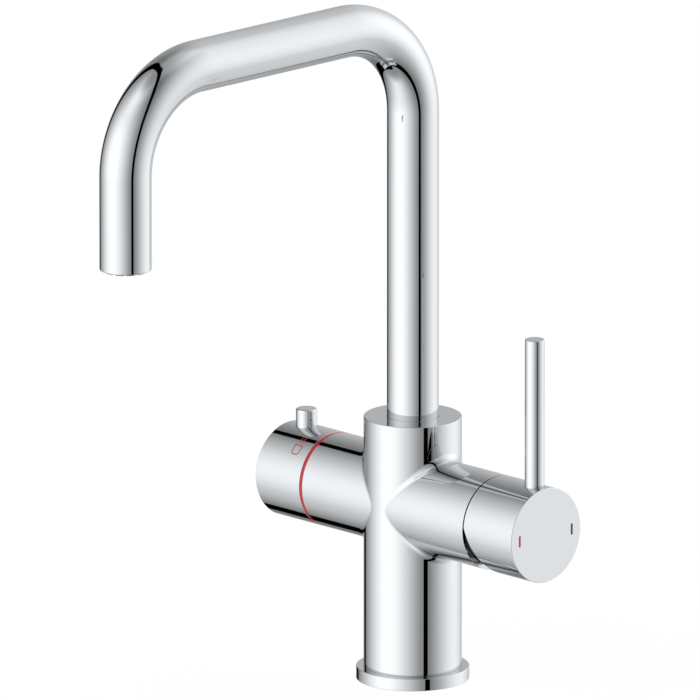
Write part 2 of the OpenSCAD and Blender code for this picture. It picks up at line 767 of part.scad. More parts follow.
module boil_valve_body() {
    color("goldenrod") difference() {
        union() {
            rod_nx(valve_nose_r, valve_seat_x + 2, valve_thread_x + 1);
            rod_nx(valve_bore_r - seat_gap, valve_thread_x, valve_flange_x + 1);
            rod_nx(valve_flange_r, valve_flange_x, collar_x0);
            rod_nx(neck_r, collar_x0 - 1, neck_x1);
        }
        rod_nx(valve_chamber_r, valve_seat_x, spindle_flange_x1 + 0.1);
        rod_nx(spindle_r + run_gap, valve_seat_x, neck_x1 + over);
        for (a = [45 : 90 : 315]) translate([-(boil_moving_x0 + boil_moving_x1) / 2, 0, arm_axis_h])
            rotate([a, 0, 0]) cylinder(r = window_r, h = valve_nose_r + 1);
    }
}

module boil_spindle() {
    flat = 3.6;
    color("darkgoldenrod") difference() {
        union() {
            rod_nx(valve_chamber_r - 0.15, boil_moving_x1, spindle_flange_x1);
            rod_nx(spindle_r, spindle_flange_x1 - 1, neck_x1 + 2);
            rod_nx(spindle_end_r, neck_x1 + 1, button_x - 1);
        }
        tube_nx(spindle_r + 1, spindle_r - 1.3, spindle_oring_x - 1.1, spindle_oring_x + 1.1);
        tube_nx(spindle_r + 1, spindle_r - 0.7, clip_x - 0.05, clip_x + 1.05);
        translate([-button_x, -spindle_end_r, arm_axis_h - 2 * spindle_end_r])
            cube([button_x - neck_x1 - 2.2, 2 * spindle_end_r, 2 * spindle_end_r - flat]);
    }
}

module spindle_oring() {
    color("black") oring_x_at(spindle_r - 0.6, 0.58, -spindle_oring_x);
}

module spindle_clip() {
    color("dimgray") difference() {
        tube_nx(spindle_r + 1.7, spindle_r - 0.65, clip_x, clip_x + 1);
        translate([-clip_x - 2, -1.5, arm_axis_h - 12]) cube([4, 3, 12]);
    }
}

// fixed collar with an inner rim that the safety latch runs against; the rim is open over the whole
// quarter turn of the knob
module lock_collar() {
    color("lightsteelblue") difference() {
        union() {
            tube_nx(collar_out_r, neck_r + seat_gap, collar_x0, collar_x0 + 1.5);
            tube_nx(collar_out_r, collar_in_r, collar_x0 + 1, collar_x1);
        }
        translate([-collar_x0 - 1.5, 0, arm_axis_h]) rotate([0, -90, 0]) rotate([0, 0, -knob_turn - rim_spare])
            rotate_extrude(angle = knob_turn + 2 * rim_spare)
                translate([collar_in_r - 2, 0]) square([8, collar_x1 - collar_x0 - 0.5]);
    }
}

module red_ring() {
    color("red") {
        tube_nx(arm_r, cup_r - 1.4, boil_arm_len, ring_x1);
        tube_nx(cup_r - seat_gap, cup_r - 1.4, boil_arm_len - 3.8, boil_arm_len + 0.5);
    }
}

// ---------------------------------------------------------------- boiling-water knob (turns about X)

module knob_hub() {
    color("darkslategray") difference() {
        rod_nx(hub_r, hub_x0, hub_x1);
        rod_nx(spindle_r + 2, hub_x0 - over, clip_x + 1.3);
        rod_nx(spindle_end_r + seat_gap, hub_x0, button_x - 0.8);
        rod_nx(spindle_r + seat_gap, hub_x0, neck_x1 + 2.2);
        // ways of the button, its spring and the latch
        post(button_flange_r + slide_gap, latch_top_z - 0.2, arm_axis_h + arm_r, [-button_x, 0]);
        post(latch_eye_r + slide_gap, latch_top_z - latch_h - button_travel - 0.3, latch_top_z, [-button_x, 0]);
        post(spring_coil_r + 0.7, spring_z0, latch_top_z - latch_h, [-button_x, 0]);
        translate([-button_x, -latch_w / 2 - slide_gap, latch_top_z - latch_h - button_travel - 0.3])
            cube([button_x - hub_x0 + 1, latch_w + 2 * slide_gap, latch_h + button_travel + 0.5]);
        post(knob_grub_r + seat_gap, arm_axis_h - arm_r, arm_axis_h, [-knob_grub_x, 0]);
    }
}

// side of the cup with cut lower corners, drawn in by a margin
module cup_side(margin) {
    foot = cup_foot_w / 2 - margin;
    corner = cup_corner - (2 - sqrt(2)) * margin;
    rim = cup_w / 2 - margin;
    top = cup_h - margin;
    polygon([[-rim, top], [-foot, margin + corner], [-foot + corner, margin],
        [foot - corner, margin], [foot, margin + corner], [rim, top]]);
}

// one curl of steam: a wave of one line's width
module steam_curl() {
    wave = [for (i = [0 : 12]) [steam_sway * sin(30 * i), steam_h * i / 12]];
    polygon(concat([for (p = wave) p - [icon_line / 2, 0]],
        [for (i = [12 : -1 : 0]) wave[i] + [icon_line / 2, 0]]));
}

// cup with two curls of steam, drawn flat: lines of one width
module cup_outline() {
    translate([0, -icon_h / 2]) {
        difference() {
            cup_side(0);
            cup_side(icon_line);
        }
        for (side = [-1, 1]) translate([side * cup_w * 0.19, icon_h - steam_h]) steam_curl();
    }
}

// the cup mark as a prism that passes through the knob's wall at its place
module cup_prism(h) {
    translate([-icon_x, 0, arm_axis_h]) rotate([90 - icon_deg, 0, 0]) linear_extrude(height = h) cup_outline();
}

module boil_knob() {
    color("silver") difference() {
        translate([-knob_x0, 0, arm_axis_h]) rotate([0, -90, 0]) rotate_extrude() polygon([
            [0, 0], [arm_r, 0], [arm_r, knob_len - edge], [arm_r - edge, knob_len], [0, knob_len]]);
        rod_nx(knob_in_r, knob_x0 - over, hub_x1);
        post(button_r + slide_gap, arm_axis_h, button_top_z, [-button_x, 0]);
        post(knob_grub_r + 0.6, arm_axis_h - arm_r - 1, arm_axis_h, [-knob_grub_x, 0]);
        difference() {
            cup_prism(arm_r + 2);
            rod_nx(arm_r - icon_t, knob_x0 - 1, knob_x1 + 1);
        }
    }
}

module boil_mark() {
    color("red") intersection() {
        cup_prism(arm_r + 2);
        tube_nx(arm_r + 0.03, arm_r - icon_t, knob_x0 - 1, knob_x1 + 1);
    }
}

module knob_grub_screw() {
    color("dimgray") difference() {
        post(knob_grub_r, arm_axis_h - hub_r + 1, arm_axis_h - spindle_end_r + 0.85, [-knob_grub_x, 0]);
        translate([-knob_grub_x, 0, arm_axis_h - hub_r + 1 - over]) cylinder(r = 1.1, h = 2.5, $fn = 6);
    }
}

// ---------------------------------------------------------------- safety button (slides in the knob)

module safety_button() {
    stem_z0 = latch_top_z - latch_h - 0.4;
    color("silver") translate([-button_x, 0, 0]) rotate_extrude() polygon([
        [0, stem_z0], [button_stem_r, stem_z0], [button_stem_r, button_flange_z - button_flange_h],
        [button_flange_r, button_flange_z - button_flange_h], [button_flange_r, button_flange_z],
        [button_r, button_flange_z], [button_r, button_top_z - 2 * edge],
        [button_r - 2 * edge, button_top_z], [0, button_top_z]]);
}

module safety_latch() {
    color("dimgray") difference() {
        union() {
            post(latch_eye_r, latch_top_z - latch_h, latch_top_z, [-button_x, 0]);
            translate([-button_x, -latch_w / 2, latch_top_z - latch_h])
                cube([button_x - latch_tip_x, latch_w, latch_h]);
        }
        post(button_stem_r + film_gap, latch_top_z - latch_h - 1, latch_top_z + 1, [-button_x, 0]);
    }
}

// coil spring under the button's stem
module button_spring() {
    sides = 6;
    per_turn = 16;
    n = spring_turns * per_turn;
    free = spring_z1 - spring_z0 - 2 * spring_wire_r;
    points = [for (i = [0 : n]) for (k = [0 : sides - 1]) let (
            a = 360 * i / per_turn, b = 360 * k / sides, r = spring_coil_r + spring_wire_r * cos(b))
        [-button_x + r * cos(a), r * sin(a), spring_z0 + spring_wire_r + free * i / n + spring_wire_r * sin(b)]];
    skin = [for (i = [0 : n - 1]) for (k = [0 : sides - 1]) let (m = (k + 1) % sides)
        each [[i * sides + k, i * sides + m, (i + 1) * sides + m],
            [i * sides + k, (i + 1) * sides + m, (i + 1) * sides + k]]];
    ends = [[for (k = [0 : sides - 1]) sides - 1 - k], [for (k = [0 : sides - 1]) n * sides + k]];
    color("gainsboro") polyhedron(points = points, faces = concat(skin, ends), convexity = 8);
}

// ---------------------------------------------------------------- assembly

// sub-part to show

tap_body();
base_ring();
base_gasket();
base_seal();
spout_grub_screw();
boil_tube_seal();
spout_tube();
spout_ferrule();
spout_orings();
spout_wear_rings();
boil_tube();
tube_spacers();
outlet_housing();
outlet_seal();
stream_former();
nozzle_ring();
cartridge_seals();
cartridge_base();
cartridge_housing();
mixer_fixed_disc();
cartridge_nut();
dome_cover();
mixer_moving_disc();
disc_carrier();
mixer_rotor();
pivot_pin();
lever_stem();
handle_cap();
lever_rod();
handle_grub_screw();
handle_grub_cover();
hot_mark();
cold_mark();
boil_seat_seal();
boil_fixed_disc();
boil_valve_body();
lock_collar();
red_ring();
boil_moving_disc();
boil_spindle();
spindle_oring();
spindle_clip();
knob_hub();
boil_knob();
boil_mark();
knob_grub_screw();
safety_button();
safety_latch();
button_spring();
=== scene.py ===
"""Dressed model of a boiling-water kitchen tap: polished chrome skins, seals, marks and studio, around the CAD frame."""
from __future__ import annotations

import json
import logging
import math
from dataclasses import dataclass, field
from enum import Enum
from typing import Any, Callable, Iterable, Sequence, Union

import bmesh
import bpy
import numpy as np
from mathutils import Matrix, Vector
from mathutils.geometry import delaunay_2d_cdt


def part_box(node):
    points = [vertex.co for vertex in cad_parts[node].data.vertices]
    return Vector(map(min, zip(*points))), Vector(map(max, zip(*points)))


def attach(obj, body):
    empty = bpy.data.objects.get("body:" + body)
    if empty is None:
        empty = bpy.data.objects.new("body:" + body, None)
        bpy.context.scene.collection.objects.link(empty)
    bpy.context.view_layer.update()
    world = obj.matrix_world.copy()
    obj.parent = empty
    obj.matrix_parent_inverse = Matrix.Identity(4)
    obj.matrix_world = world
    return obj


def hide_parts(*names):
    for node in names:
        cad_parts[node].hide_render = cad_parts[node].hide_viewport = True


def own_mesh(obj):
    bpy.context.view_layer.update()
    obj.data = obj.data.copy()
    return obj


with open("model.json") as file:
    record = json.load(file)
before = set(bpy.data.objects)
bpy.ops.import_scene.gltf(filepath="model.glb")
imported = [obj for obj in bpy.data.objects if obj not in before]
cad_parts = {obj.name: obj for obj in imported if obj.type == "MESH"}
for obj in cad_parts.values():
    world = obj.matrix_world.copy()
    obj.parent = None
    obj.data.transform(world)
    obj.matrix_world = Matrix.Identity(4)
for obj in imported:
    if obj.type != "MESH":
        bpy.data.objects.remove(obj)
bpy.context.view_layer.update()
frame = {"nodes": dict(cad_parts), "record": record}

log = logging.getLogger("tap")

MM = 0.001
ARM_Z = 93.0
FULL_TURN = 2 * math.pi
Number = Union[float, "Wire"]
Rgb = tuple[float, float, float]
CHROME: Rgb = (0.60, 0.62, 0.635)


class Slot(Enum):
    """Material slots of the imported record."""

    CHROME = "polished_chrome"
    # inner chrome is given a near-black colour: painted shade, not a darker metal
    INNER_CHROME_PAINTED_SHADE = "inner_chrome"
    BRASS = "brass"
    STEEL = "steel"
    RUBBER = "seal_rubber"
    WHITE = "white_plastic"
    GREY = "grey_plastic"
    BLACK = "black_plastic"
    CERAMIC = "disc_ceramic"
    RED = "red_plastic"
    RED_MARK = "red_mark"
    BLUE_MARK = "blue_mark"


class Part(Enum):
    """Bodies that move as one."""

    TAP = "tap_body"
    SPOUT = "spout"
    MIXER = "mixer_core"
    HANDLE = "handle"
    KNOB = "boil_knob"
    BUTTON = "safety_button"


class Way(Enum):
    """Direction of a turned piece's axis."""

    UP = "z"
    ALONG = "x"


# ---------------------------------------------------------------- node graphs


class Wire:
    """A node socket that takes part in sums, products and comparisons."""

    def __init__(self, graph: "Graph", socket: bpy.types.NodeSocket) -> None:
        """Keeps the socket and the graph it belongs to."""
        self.graph = graph
        self.socket = socket

    def __add__(self, other: Number) -> "Wire":
        """self + other."""
        return self.graph.math("ADD", self, other)

    def __radd__(self, other: Number) -> "Wire":
        """other + self."""
        return self.graph.math("ADD", other, self)

    def __sub__(self, other: Number) -> "Wire":
        """self - other."""
        return self.graph.math("SUBTRACT", self, other)

    def __rsub__(self, other: Number) -> "Wire":
        """other - self."""
        return self.graph.math("SUBTRACT", other, self)

    def __mul__(self, other: Number) -> "Wire":
        """self * other."""
        return self.graph.math("MULTIPLY", self, other)

    def __rmul__(self, other: Number) -> "Wire":
        """other * self."""
        return self.graph.math("MULTIPLY", other, self)

    def __truediv__(self, other: Number) -> "Wire":
        """self / other."""
        return self.graph.math("DIVIDE", self, other)

    def __gt__(self, other: Number) -> "Wire":
        """1 where self > other."""
        return self.graph.math("GREATER_THAN", self, other)

    def __lt__(self, other: Number) -> "Wire":
        """1 where self < other."""
        return self.graph.math("LESS_THAN", self, other)


class Graph:
    """Adds nodes to one shader or geometry tree."""

    def __init__(self, tree: bpy.types.NodeTree) -> None:
        """Starts on a tree, emptied."""
        self.tree = tree
        tree.nodes.clear()

    def node(self, kind: str, settings: dict[str, Any] | None = None,
             values: dict[str | int, Any] | None = None) -> bpy.types.Node:
        """Adds one node.

        Args:
            kind: Blender's type name of the node.
            settings: attributes, set first; "stops" fills a colour ramp.
            values: numbers, colours or wires for the input sockets, by name or index.

        Returns:
            The node.
        """
        made = self.tree.nodes.new(kind)
        for key, value in (settings or {}).items():
            if key == "stops":
                self._fill_ramp(made.color_ramp, value)
            else:
                setattr(made, key, value)
        for key, value in (values or {}).items():
            socket = made.inputs[key]
            if isinstance(value, Wire):
                self.tree.links.new(value.socket, socket)
            else:
                socket.default_value = value
        return made

    @staticmethod
    def _fill_ramp(ramp: bpy.types.ColorRamp, stops: Sequence[tuple[float, Rgb]]) -> None:
        """Gives a ramp its stops.

        Args:
            ramp: the ramp.
            stops: places from 0 to 1 with their colours.
        """
        while len(ramp.elements) > 1:
            ramp.elements.remove(ramp.elements[-1])
        for index, (place, colour) in enumerate(stops):
            stop = ramp.elements[0] if index == 0 else ramp.elements.new(place)
            stop.position = place
            stop.color = (*colour, 1.0)

    def out(self, node: bpy.types.Node, name: str | int = 0) -> Wire:
        """The wire of a node's output."""
        return Wire(self, node.outputs[name])

    def math(self, operation: str, first: Number, second: Number = 0.0) -> Wire:
        """A Math node of one operation.

        Args:
            operation: Blender's name of the operation.
            first: first operand.
            second: second operand.

        Returns:
            The result's wire.
        """
        return self.out(self.node("ShaderNodeMath", {"operation": operation}, {0: first, 1: second}))


# ---------------------------------------------------------------- finishes


@dataclass(frozen=True)
class Finish:
    """A finish: colour, gloss and the fine detail that breaks them up."""

    slot: Slot
    colour: Rgb
    roughness: float
    metallic: float = 0.0
    spread: float = 0.02
    grain: float = 900.0
    tint: float = 0.03
    bump: float = 0.0
    coat: float = 0.0
    ior: float = 1.5
    scratches: float = 0.0
    edge_tint: float = 1.0

    def material(self) -> bpy.types.Material:
        """Builds the procedural material of this finish.

        Returns:
            The material, named for its slot.
        """
        made = bpy.data.materials.new(self.slot.value)
        made.use_nodes = True
        graph = Graph(made.node_tree)
        place = graph.out(graph.node("ShaderNodeTexCoord"), "Object")
        cloud = graph.out(graph.node("ShaderNodeTexNoise", {}, {
            "Vector": place, "Scale": self.grain * 0.06, "Detail": 3.0, "Roughness": 0.5}), 0)
        fine = graph.out(graph.node("ShaderNodeTexNoise", {}, {
            "Vector": place, "Scale": self.grain, "Detail": 4.0, "Roughness": 0.6}), 0)
        rough = self.roughness + self.spread * (cloud - 0.5) + 0.4 * self.spread * (fine - 0.5)
        if self.scratches:
            rough = rough + self.scratches * self._hairlines(graph, place)
        shade = graph.node("ShaderNodeMix", {"data_type": "RGBA", "blend_type": "MIX"}, {
            0: cloud, 6: (*[c * (1 - self.tint) for c in self.colour], 1.0),
            7: (*[min(1.0, c * (1 + self.tint)) for c in self.colour], 1.0)})
        values: dict[str | int, Any] = {
            "Base Color": graph.out(shade, 2), "Roughness": graph.math("MAXIMUM", rough, 0.012),
            "Metallic": self.metallic, "IOR": self.ior, "Coat Weight": self.coat, "Coat Roughness": 0.05,
            "Specular Tint": (self.edge_tint, self.edge_tint, self.edge_tint, 1.0)}
        if self.bump:
            values["Normal"] = graph.out(graph.node("ShaderNodeBump", {}, {
                "Strength": self.bump, "Distance": 0.00005, "Height": fine}))
        surface = graph.node("ShaderNodeBsdfPrincipled", {}, values)
        graph.node("ShaderNodeOutputMaterial", {}, {"Surface": graph.out(surface)})
        made.diffuse_color = (*self.colour, 1.0)
        return made

    @staticmethod
    def _hairlines(graph: Graph, place: Wire) -> Wire:
        """Sparse wiping lines that a cloth leaves, as a mask.

        Args:
            graph: the material's graph.
            place: Object coordinates.

        Returns:
            1 on a line, 0 elsewhere.
        """
        turned = graph.out(graph.node("ShaderNodeMapping", {}, {
            "Vector": place, "Rotation": (0.3, 0.5, 0.2), "Scale": (2600.0, 90.0, 260.0)}))
        streak = graph.out(graph.node("ShaderNodeTexNoise", {}, {
            "Vector": turned, "Scale": 1.0, "Detail": 2.0, "Roughness": 0.4}), 0)
        return streak > 0.66


FINISHES = {f.slot: f for f in (
    Finish(Slot.CHROME, CHROME, 0.03, 1.0, 0.012, 700.0, 0.006, scratches=0.012, edge_tint=0.8),
    # near-black chrome is painted shade for the dark gap under the handle and the dome in it; the real parts are
    # bright chrome
    Finish(Slot.INNER_CHROME_PAINTED_SHADE, (0.06, 0.062, 0.065), 0.14, 1.0, 0.04, 500.0, 0.05, edge_tint=0.8),
    Finish(Slot.BRASS, (0.78, 0.60, 0.30), 0.28, 1.0, 0.12, 1400.0, 0.08, bump=0.15),
    Finish(Slot.STEEL, (0.60, 0.61, 0.62), 0.30, 1.0, 0.10, 1800.0, 0.05, bump=0.12),
    Finish(Slot.RUBBER, (0.025, 0.025, 0.027), 0.62, 0.0, 0.12, 1600.0, 0.25, bump=0.3),
    Finish(Slot.WHITE, (0.80, 0.80, 0.78), 0.45, 0.0, 0.08, 1200.0, 0.03, bump=0.1),
    Finish(Slot.GREY, (0.33, 0.34, 0.36), 0.42, 0.0, 0.10, 1300.0, 0.05, bump=0.15),
    Finish(Slot.BLACK, (0.03, 0.032, 0.035), 0.45, 0.0, 0.10, 1500.0, 0.2, bump=0.2),
    Finish(Slot.CERAMIC, (0.88, 0.86, 0.82), 0.12, 0.0, 0.05, 900.0, 0.02, coat=0.3, ior=1.76),
    Finish(Slot.RED, (0.84, 0.012, 0.03), 0.22, 0.0, 0.05, 1100.0, 0.06, coat=0.1),
    Finish(Slot.RED_MARK, (0.84, 0.03, 0.055), 0.30, 0.0, 0.06, 1500.0, 0.08, bump=0.1),
    Finish(Slot.BLUE_MARK, (0.014, 0.012, 0.36), 0.30, 0.0, 0.06, 1500.0, 0.08, bump=0.1),
)}


class Paints:
    """Hands out one material for each slot."""

    def __init__(self) -> None:
        """Starts with nothing mixed."""
        self._made: dict[Slot, bpy.types.Material] = {}

    def get(self, slot: Slot) -> bpy.types.Material:
        """The slot's material, mixed when first asked for."""
        if slot not in self._made:
            self._made[slot] = FINISHES[slot].material()
        return self._made[slot]


PAINTS = Paints()


# ---------------------------------------------------------------- meshes with exact normals


@dataclass(frozen=True)
class Corner:
    """A corner of a turned profile: distance from the axis, place along it, rounding radius."""

    r: float
    z: float
    bend: float = 0.0


@dataclass(frozen=True)
class Axis:
    """Axis of a turned piece, through a point in millimetres."""

    way: Way
    x: float = 0.0
    y: float = 0.0
    z: float = 0.0

    def point(self, r: np.ndarray, angle: np.ndarray, along: np.ndarray) -> np.ndarray:
        """Points in the row frame.

        Args:
            r: distances from the axis.
            angle: angles about it; 0 is +X on an upright axis and +Z on one along X.
            along: places along the axis.

        Returns:
            Points with the shape of the inputs and three coordinates.
        """
        if self.way is Way.UP:
            parts = (self.x + r * np.cos(angle), self.y + r * np.sin(angle), self.z + along)
        else:
            parts = (self.x + along, self.y + r * np.sin(angle), self.z + r * np.cos(angle))
        return np.stack(np.broadcast_arrays(*parts), -1)

    def turn(self, radial: np.ndarray, angle: np.ndarray, along: np.ndarray) -> np.ndarray:
        """Directions with a radial and an axial share."""
        return Axis(self.way).point(radial, angle, along)


COLUMN_AXIS = Axis(Way.UP)
ARM_AXIS = Axis(Way.ALONG, z=ARM_Z)


def slerp(a: np.ndarray, b: np.ndarray, share: np.ndarray | float) -> np.ndarray:
    """Unit vectors between two unit vectors.

    Args:
        a: first directions.
        b: second directions.
        share: 0 at a, 1 at b.

    Returns:
        Directions on the great circle between them.
    """
    angle = np.arccos(np.clip((a * b).sum(-1, keepdims=True), -1, 1))
    small = np.sin(angle) < 1e-9
    safe = np.where(small, 1.0, np.sin(angle))
    mixed = (np.sin((1 - share) * angle) * a + np.sin(share * angle) * b) / safe
    return np.where(small, a, mixed)


def inside(polygon: np.ndarray, points: np.ndarray) -> np.ndarray:
    """Which points lie in a polygon.

    Args:
        polygon: its corners.
        points: points to test.

    Returns:
        True for each point inside.
    """
    x, y = points[:, 0], points[:, 1]
    found = np.zeros(len(points), bool)
    for (x0, y0), (x1, y1) in zip(polygon, np.roll(polygon, -1, axis=0)):
        if y0 != y1:
            found ^= ((y0 > y) != (y1 > y)) & (x < (x1 - x0) * (y - y0) / (y1 - y0) + x0)
    return found


class Skin:
    """Gathers patches of points with their outward normals, and joins them into one mesh."""

    def __init__(self) -> None:
        """Starts empty."""
        self._points: list[np.ndarray] = []
        self._normals: list[np.ndarray] = []
        self._faces: list[np.ndarray] = []
        self._count = 0

    def patch(self, points: np.ndarray, normals: np.ndarray, faces: np.ndarray) -> None:
        """Adds faces between points.

        Args:
            points: places in millimetres.
            normals: outward normal at each point.
            faces: corner indices into them.
        """
        corner = points[faces]
        flat = np.cross(corner[:, 1] - corner[:, 0], corner[:, 2] - corner[:, 0])
        if faces.shape[1] == 4:
            flat = flat + np.cross(corner[:, 2] - corner[:, 0], corner[:, 3] - corner[:, 0])
        wrong = (flat * normals[faces].sum(1)).sum(-1) < 0
        faces = np.where(wrong[:, None], faces[:, ::-1], faces)
        self._points.append(points)
        self._normals.append(normals)
        self._faces.append(faces + self._count)
        self._count += len(points)

    def grid(self, points: np.ndarray, normals: np.ndarray) -> None:
        """Adds a sheet of quads.

        Args:
            points: rows and columns of points.
            normals: normal at each.
        """
        rows, columns = points.shape[:2]
        index = np.arange(rows * columns).reshape(rows, columns)
        quads = np.stack([index[:-1, :-1], index[1:, :-1], index[1:, 1:], index[:-1, 1:]], -1).reshape(-1, 4)
        self.patch(points.reshape(-1, 3), np.broadcast_to(normals, points.shape).reshape(-1, 3), quads)

    def lathe(self, axis: Axis, corners: Sequence[Corner], closed: bool = False, sides: int = 160,
              angles: np.ndarray | None = None, steps: int = 6) -> None:
        """Turns a profile about an axis. The material lies to the left of the way the corners are listed.

        Args:
            axis: the axis.
            corners: the profile.
            closed: whether the last corner joins the first.
            sides: points round the axis.
            angles: their angles, where they are not even.
            steps: faces across each rounding.
        """
        if angles is None:
            angles = np.linspace(0, FULL_TURN, sides + 1)
        for profile, normals in profile_pieces(corners, closed, steps):
            self.grid(axis.point(profile[:, :1], angles[None], profile[:, 1:]),
                      axis.turn(normals[:, :1], angles[None], normals[:, 1:]))

    def wall(self, axis: Axis, radius: float, outline: np.ndarray, holes: Sequence[np.ndarray],
             pitch: float = 1.6) -> None:
        """Covers a round wall that has holes of any outline.

        Args:
            axis: the wall's axis.
            radius: its radius; negative for a bore.
            outline: outer edge as (angle, place along the axis).
            holes: edges of the holes, in the same terms.
            pitch: spacing of the points in between.
        """
        size = abs(radius)
        scale = np.array([size, 1.0])
        loops = [outline * scale] + [hole * scale for hole in holes]
        low, high = loops[0].min(0), loops[0].max(0)
        across = np.linspace(low[0], high[0], max(3, round((high[0] - low[0]) / pitch)) + 1)[1:-1]
        along = np.linspace(low[1], high[1], max(2, round((high[1] - low[1]) / pitch)) + 1)[1:-1]
        fill = np.stack(np.meshgrid(across, along), -1).reshape(-1, 2)
        keep = inside(loops[0], fill)
        for loop in loops:
            near = np.ones(len(fill), bool)
            for chunk in np.array_split(loop, max(1, len(loop) // 64)):
                gap = np.linalg.norm(fill[:, None] - chunk[None], axis=-1).min(1)
                near &= gap > 0.45 * pitch
            keep &= near
        for hole in loops[1:]:
            keep &= ~inside(hole, fill)
        flat = np.concatenate(loops + [fill[keep]])
        edges, start = [], 0
        for loop in loops:
            index = np.arange(len(loop)) + start
            edges += list(zip(index.tolist(), np.roll(index, -1).tolist()))
            start += len(loop)
        made, _, faces, origin, _, _ = delaunay_2d_cdt([Vector(p) for p in flat], edges, [], 0, 1e-7)
        places = np.array([flat[o[0]] if o else tuple(v) for v, o in zip(made, origin)])
        triangles = np.array([f for f in faces if len(f) == 3])
        middle = places[triangles].mean(1)
        keep = inside(loops[0], middle)
        for hole in loops[1:]:
            keep &= ~inside(hole, middle)
        angle, place = places[:, 0] / size, places[:, 1]
        sign = math.copysign(1.0, radius)
        self.patch(axis.point(np.full_like(angle, size), angle, place),
                   axis.turn(np.full_like(angle, sign), angle, 0 * angle), triangles[keep])

    def edge(self, at: np.ndarray, first: np.ndarray, second: np.ndarray, bend: float,
             arm_r: float, steps: int = 5) -> tuple[np.ndarray, np.ndarray]:
        """Rounds an outer edge between two surfaces.

        Args:
            at: points of the sharp edge.
            first: outward normals of the first surface there.
            second: outward normals of the second.
            bend: rounding radius.
            arm_r: radius of the first surface, which is round about the arms' axis.
            steps: faces across the rounding.

        Returns:
            The rounding's border on the first surface and on the second.
        """
        centre = at - bend * (first + second) / (1 + (first * second).sum(-1, keepdims=True))
        share = np.linspace(0, 1, steps + 1)[:, None, None]
        normals = slerp(first[None], second[None], share)
        points = centre[None] + bend * normals
        away = points[0, :, 1:] - [0.0, ARM_Z]
        points[0, :, 1:] += away * (arm_r / np.linalg.norm(away, axis=1, keepdims=True) - 1.0)
        self.grid(points, normals)
        return points[0], points[-1]

    def sheet(self, first: np.ndarray, second: np.ndarray, normals: np.ndarray) -> None:
        """Joins two rows of points by one row of quads with shared normals."""
        self.grid(np.stack([first, second]), np.broadcast_to(normals, (2, *first.shape)))

    def flat_plate(self, loops: Sequence[np.ndarray], height: float, normal: Rgb) -> None:
        """Fills a level plate with holes.

        Args:
            loops: outer edge, then the edges of the holes, as (x, y).
            height: its height.
            normal: its outward normal.
        """
        flat = np.concatenate(loops)
        edges, start = [], 0
        for loop in loops:
            index = np.arange(len(loop)) + start
            edges += list(zip(index.tolist(), np.roll(index, -1).tolist()))
            start += len(loop)
        made, _, faces, origin, _, _ = delaunay_2d_cdt([Vector(p) for p in flat], edges, [], 0, 1e-7)
        places = np.array([flat[o[0]] if o else tuple(v) for v, o in zip(made, origin)])
        triangles = np.array([f for f in faces if len(f) == 3])
        middle = places[triangles].mean(1)
        keep = inside(loops[0], middle)
        for hole in loops[1:]:
            keep &= ~inside(hole, middle)
        points = np.column_stack([places, np.full(len(places), height)])
        self.patch(points, np.broadcast_to(np.array(normal, float), points.shape), triangles[keep])

    def size(self) -> int:
        """Number of vertices that the joined mesh has."""
        keys = np.round(np.concatenate(self._points) * 1e4) + 0.0
        return len(np.unique(keys, axis=0))

    def mesh(self, name: str) -> bpy.types.Mesh:
        """Joins the patches, in metres, with their normals kept.

        Args:
            name: the mesh's name.

        Returns:
            The mesh.
        """
        points = np.concatenate(self._points)
        normals = np.concatenate(self._normals)
        keys = np.round(points * 1e4) + 0.0
        _, first, place = np.unique(keys, axis=0, return_index=True, return_inverse=True)
        place = place.reshape(-1)
        faces, corner_normals = [], []
        for block in self._faces:
            for face in block:
                merged = place[face]
                kept = [i for i in range(len(merged)) if merged[i] != merged[i - 1]]
                if len(kept) > 2:
                    faces.append([int(merged[i]) for i in kept])
                    corner_normals += [normals[face[i]] for i in kept]
        made = bpy.data.meshes.new(name)
        made.from_pydata((points[first] * MM).tolist(), [], faces)
        made.polygons.foreach_set("use_smooth", [True] * len(made.polygons))
        lengths = np.linalg.norm(corner_normals, axis=1, keepdims=True)
        made.normals_split_custom_set((np.array(corner_normals) / np.maximum(lengths, 1e-12)).tolist())
        made.update()
        return made


def profile_pieces(corners: Sequence[Corner], closed: bool, steps: int) -> Iterable[tuple[np.ndarray, np.ndarray]]:
    """Splits a profile into straight runs and roundings.

    Args:
        corners: its corners, with the material on the left.
        closed: whether it is a loop.
        steps: faces across each rounding.

    Yields:
        Points (distance from the axis, place along it) and normals of each run.
    """
    at = np.array([[c.r, c.z] for c in corners], float)
    count = len(corners)
    runs = count if closed else count - 1
    ways = [(at[(i + 1) % count] - at[i]) / np.linalg.norm(at[(i + 1) % count] - at[i]) for i in range(runs)]
    outs = [np.array([w[1], -w[0]]) for w in ways]
    starts: dict[int, np.ndarray] = {}
    ends: dict[int, np.ndarray] = {}
    for i, corner in enumerate(corners):
        before, after = (i - 1) % runs if closed else i - 1, i
        if before < 0 or after >= runs or corner.bend <= 0:
            if after < runs:
                starts[after] = at[i]
            if before >= 0:
                ends[before] = at[i]
            continue
        first, second = outs[before], outs[after]
        turn = ways[before][0] * ways[after][1] - ways[before][1] * ways[after][0]
        side = 1.0 if turn > 0 else -1.0
        centre = at[i] - side * corner.bend * (first + second) / (1 + first @ second)
        share = np.linspace(0, 1, steps + 1)[:, None]
        normals = slerp(first[None], second[None], share)
        points = centre + side * corner.bend * normals
        ends[before], starts[after] = points[0], points[-1]
        yield points, normals
    for i in range(runs):
        if np.linalg.norm(ends[i] - starts[i]) > 1e-9:
            yield np.stack([starts[i], ends[i]]), np.stack([outs[i], outs[i]])


def ring_angles(sides: int) -> np.ndarray:
    """Angles of a closed ring whose first and last points meet."""
    return np.linspace(0, FULL_TURN, sides + 1)


def circle(at: tuple[float, float], radius: float, sides: int = 48) -> np.ndarray:
    """A circle's points in a plane, without the repeated last one."""
    angle = ring_angles(sides)[:-1]
    return np.column_stack([at[0] + radius * np.cos(angle), at[1] + radius * np.sin(angle)])


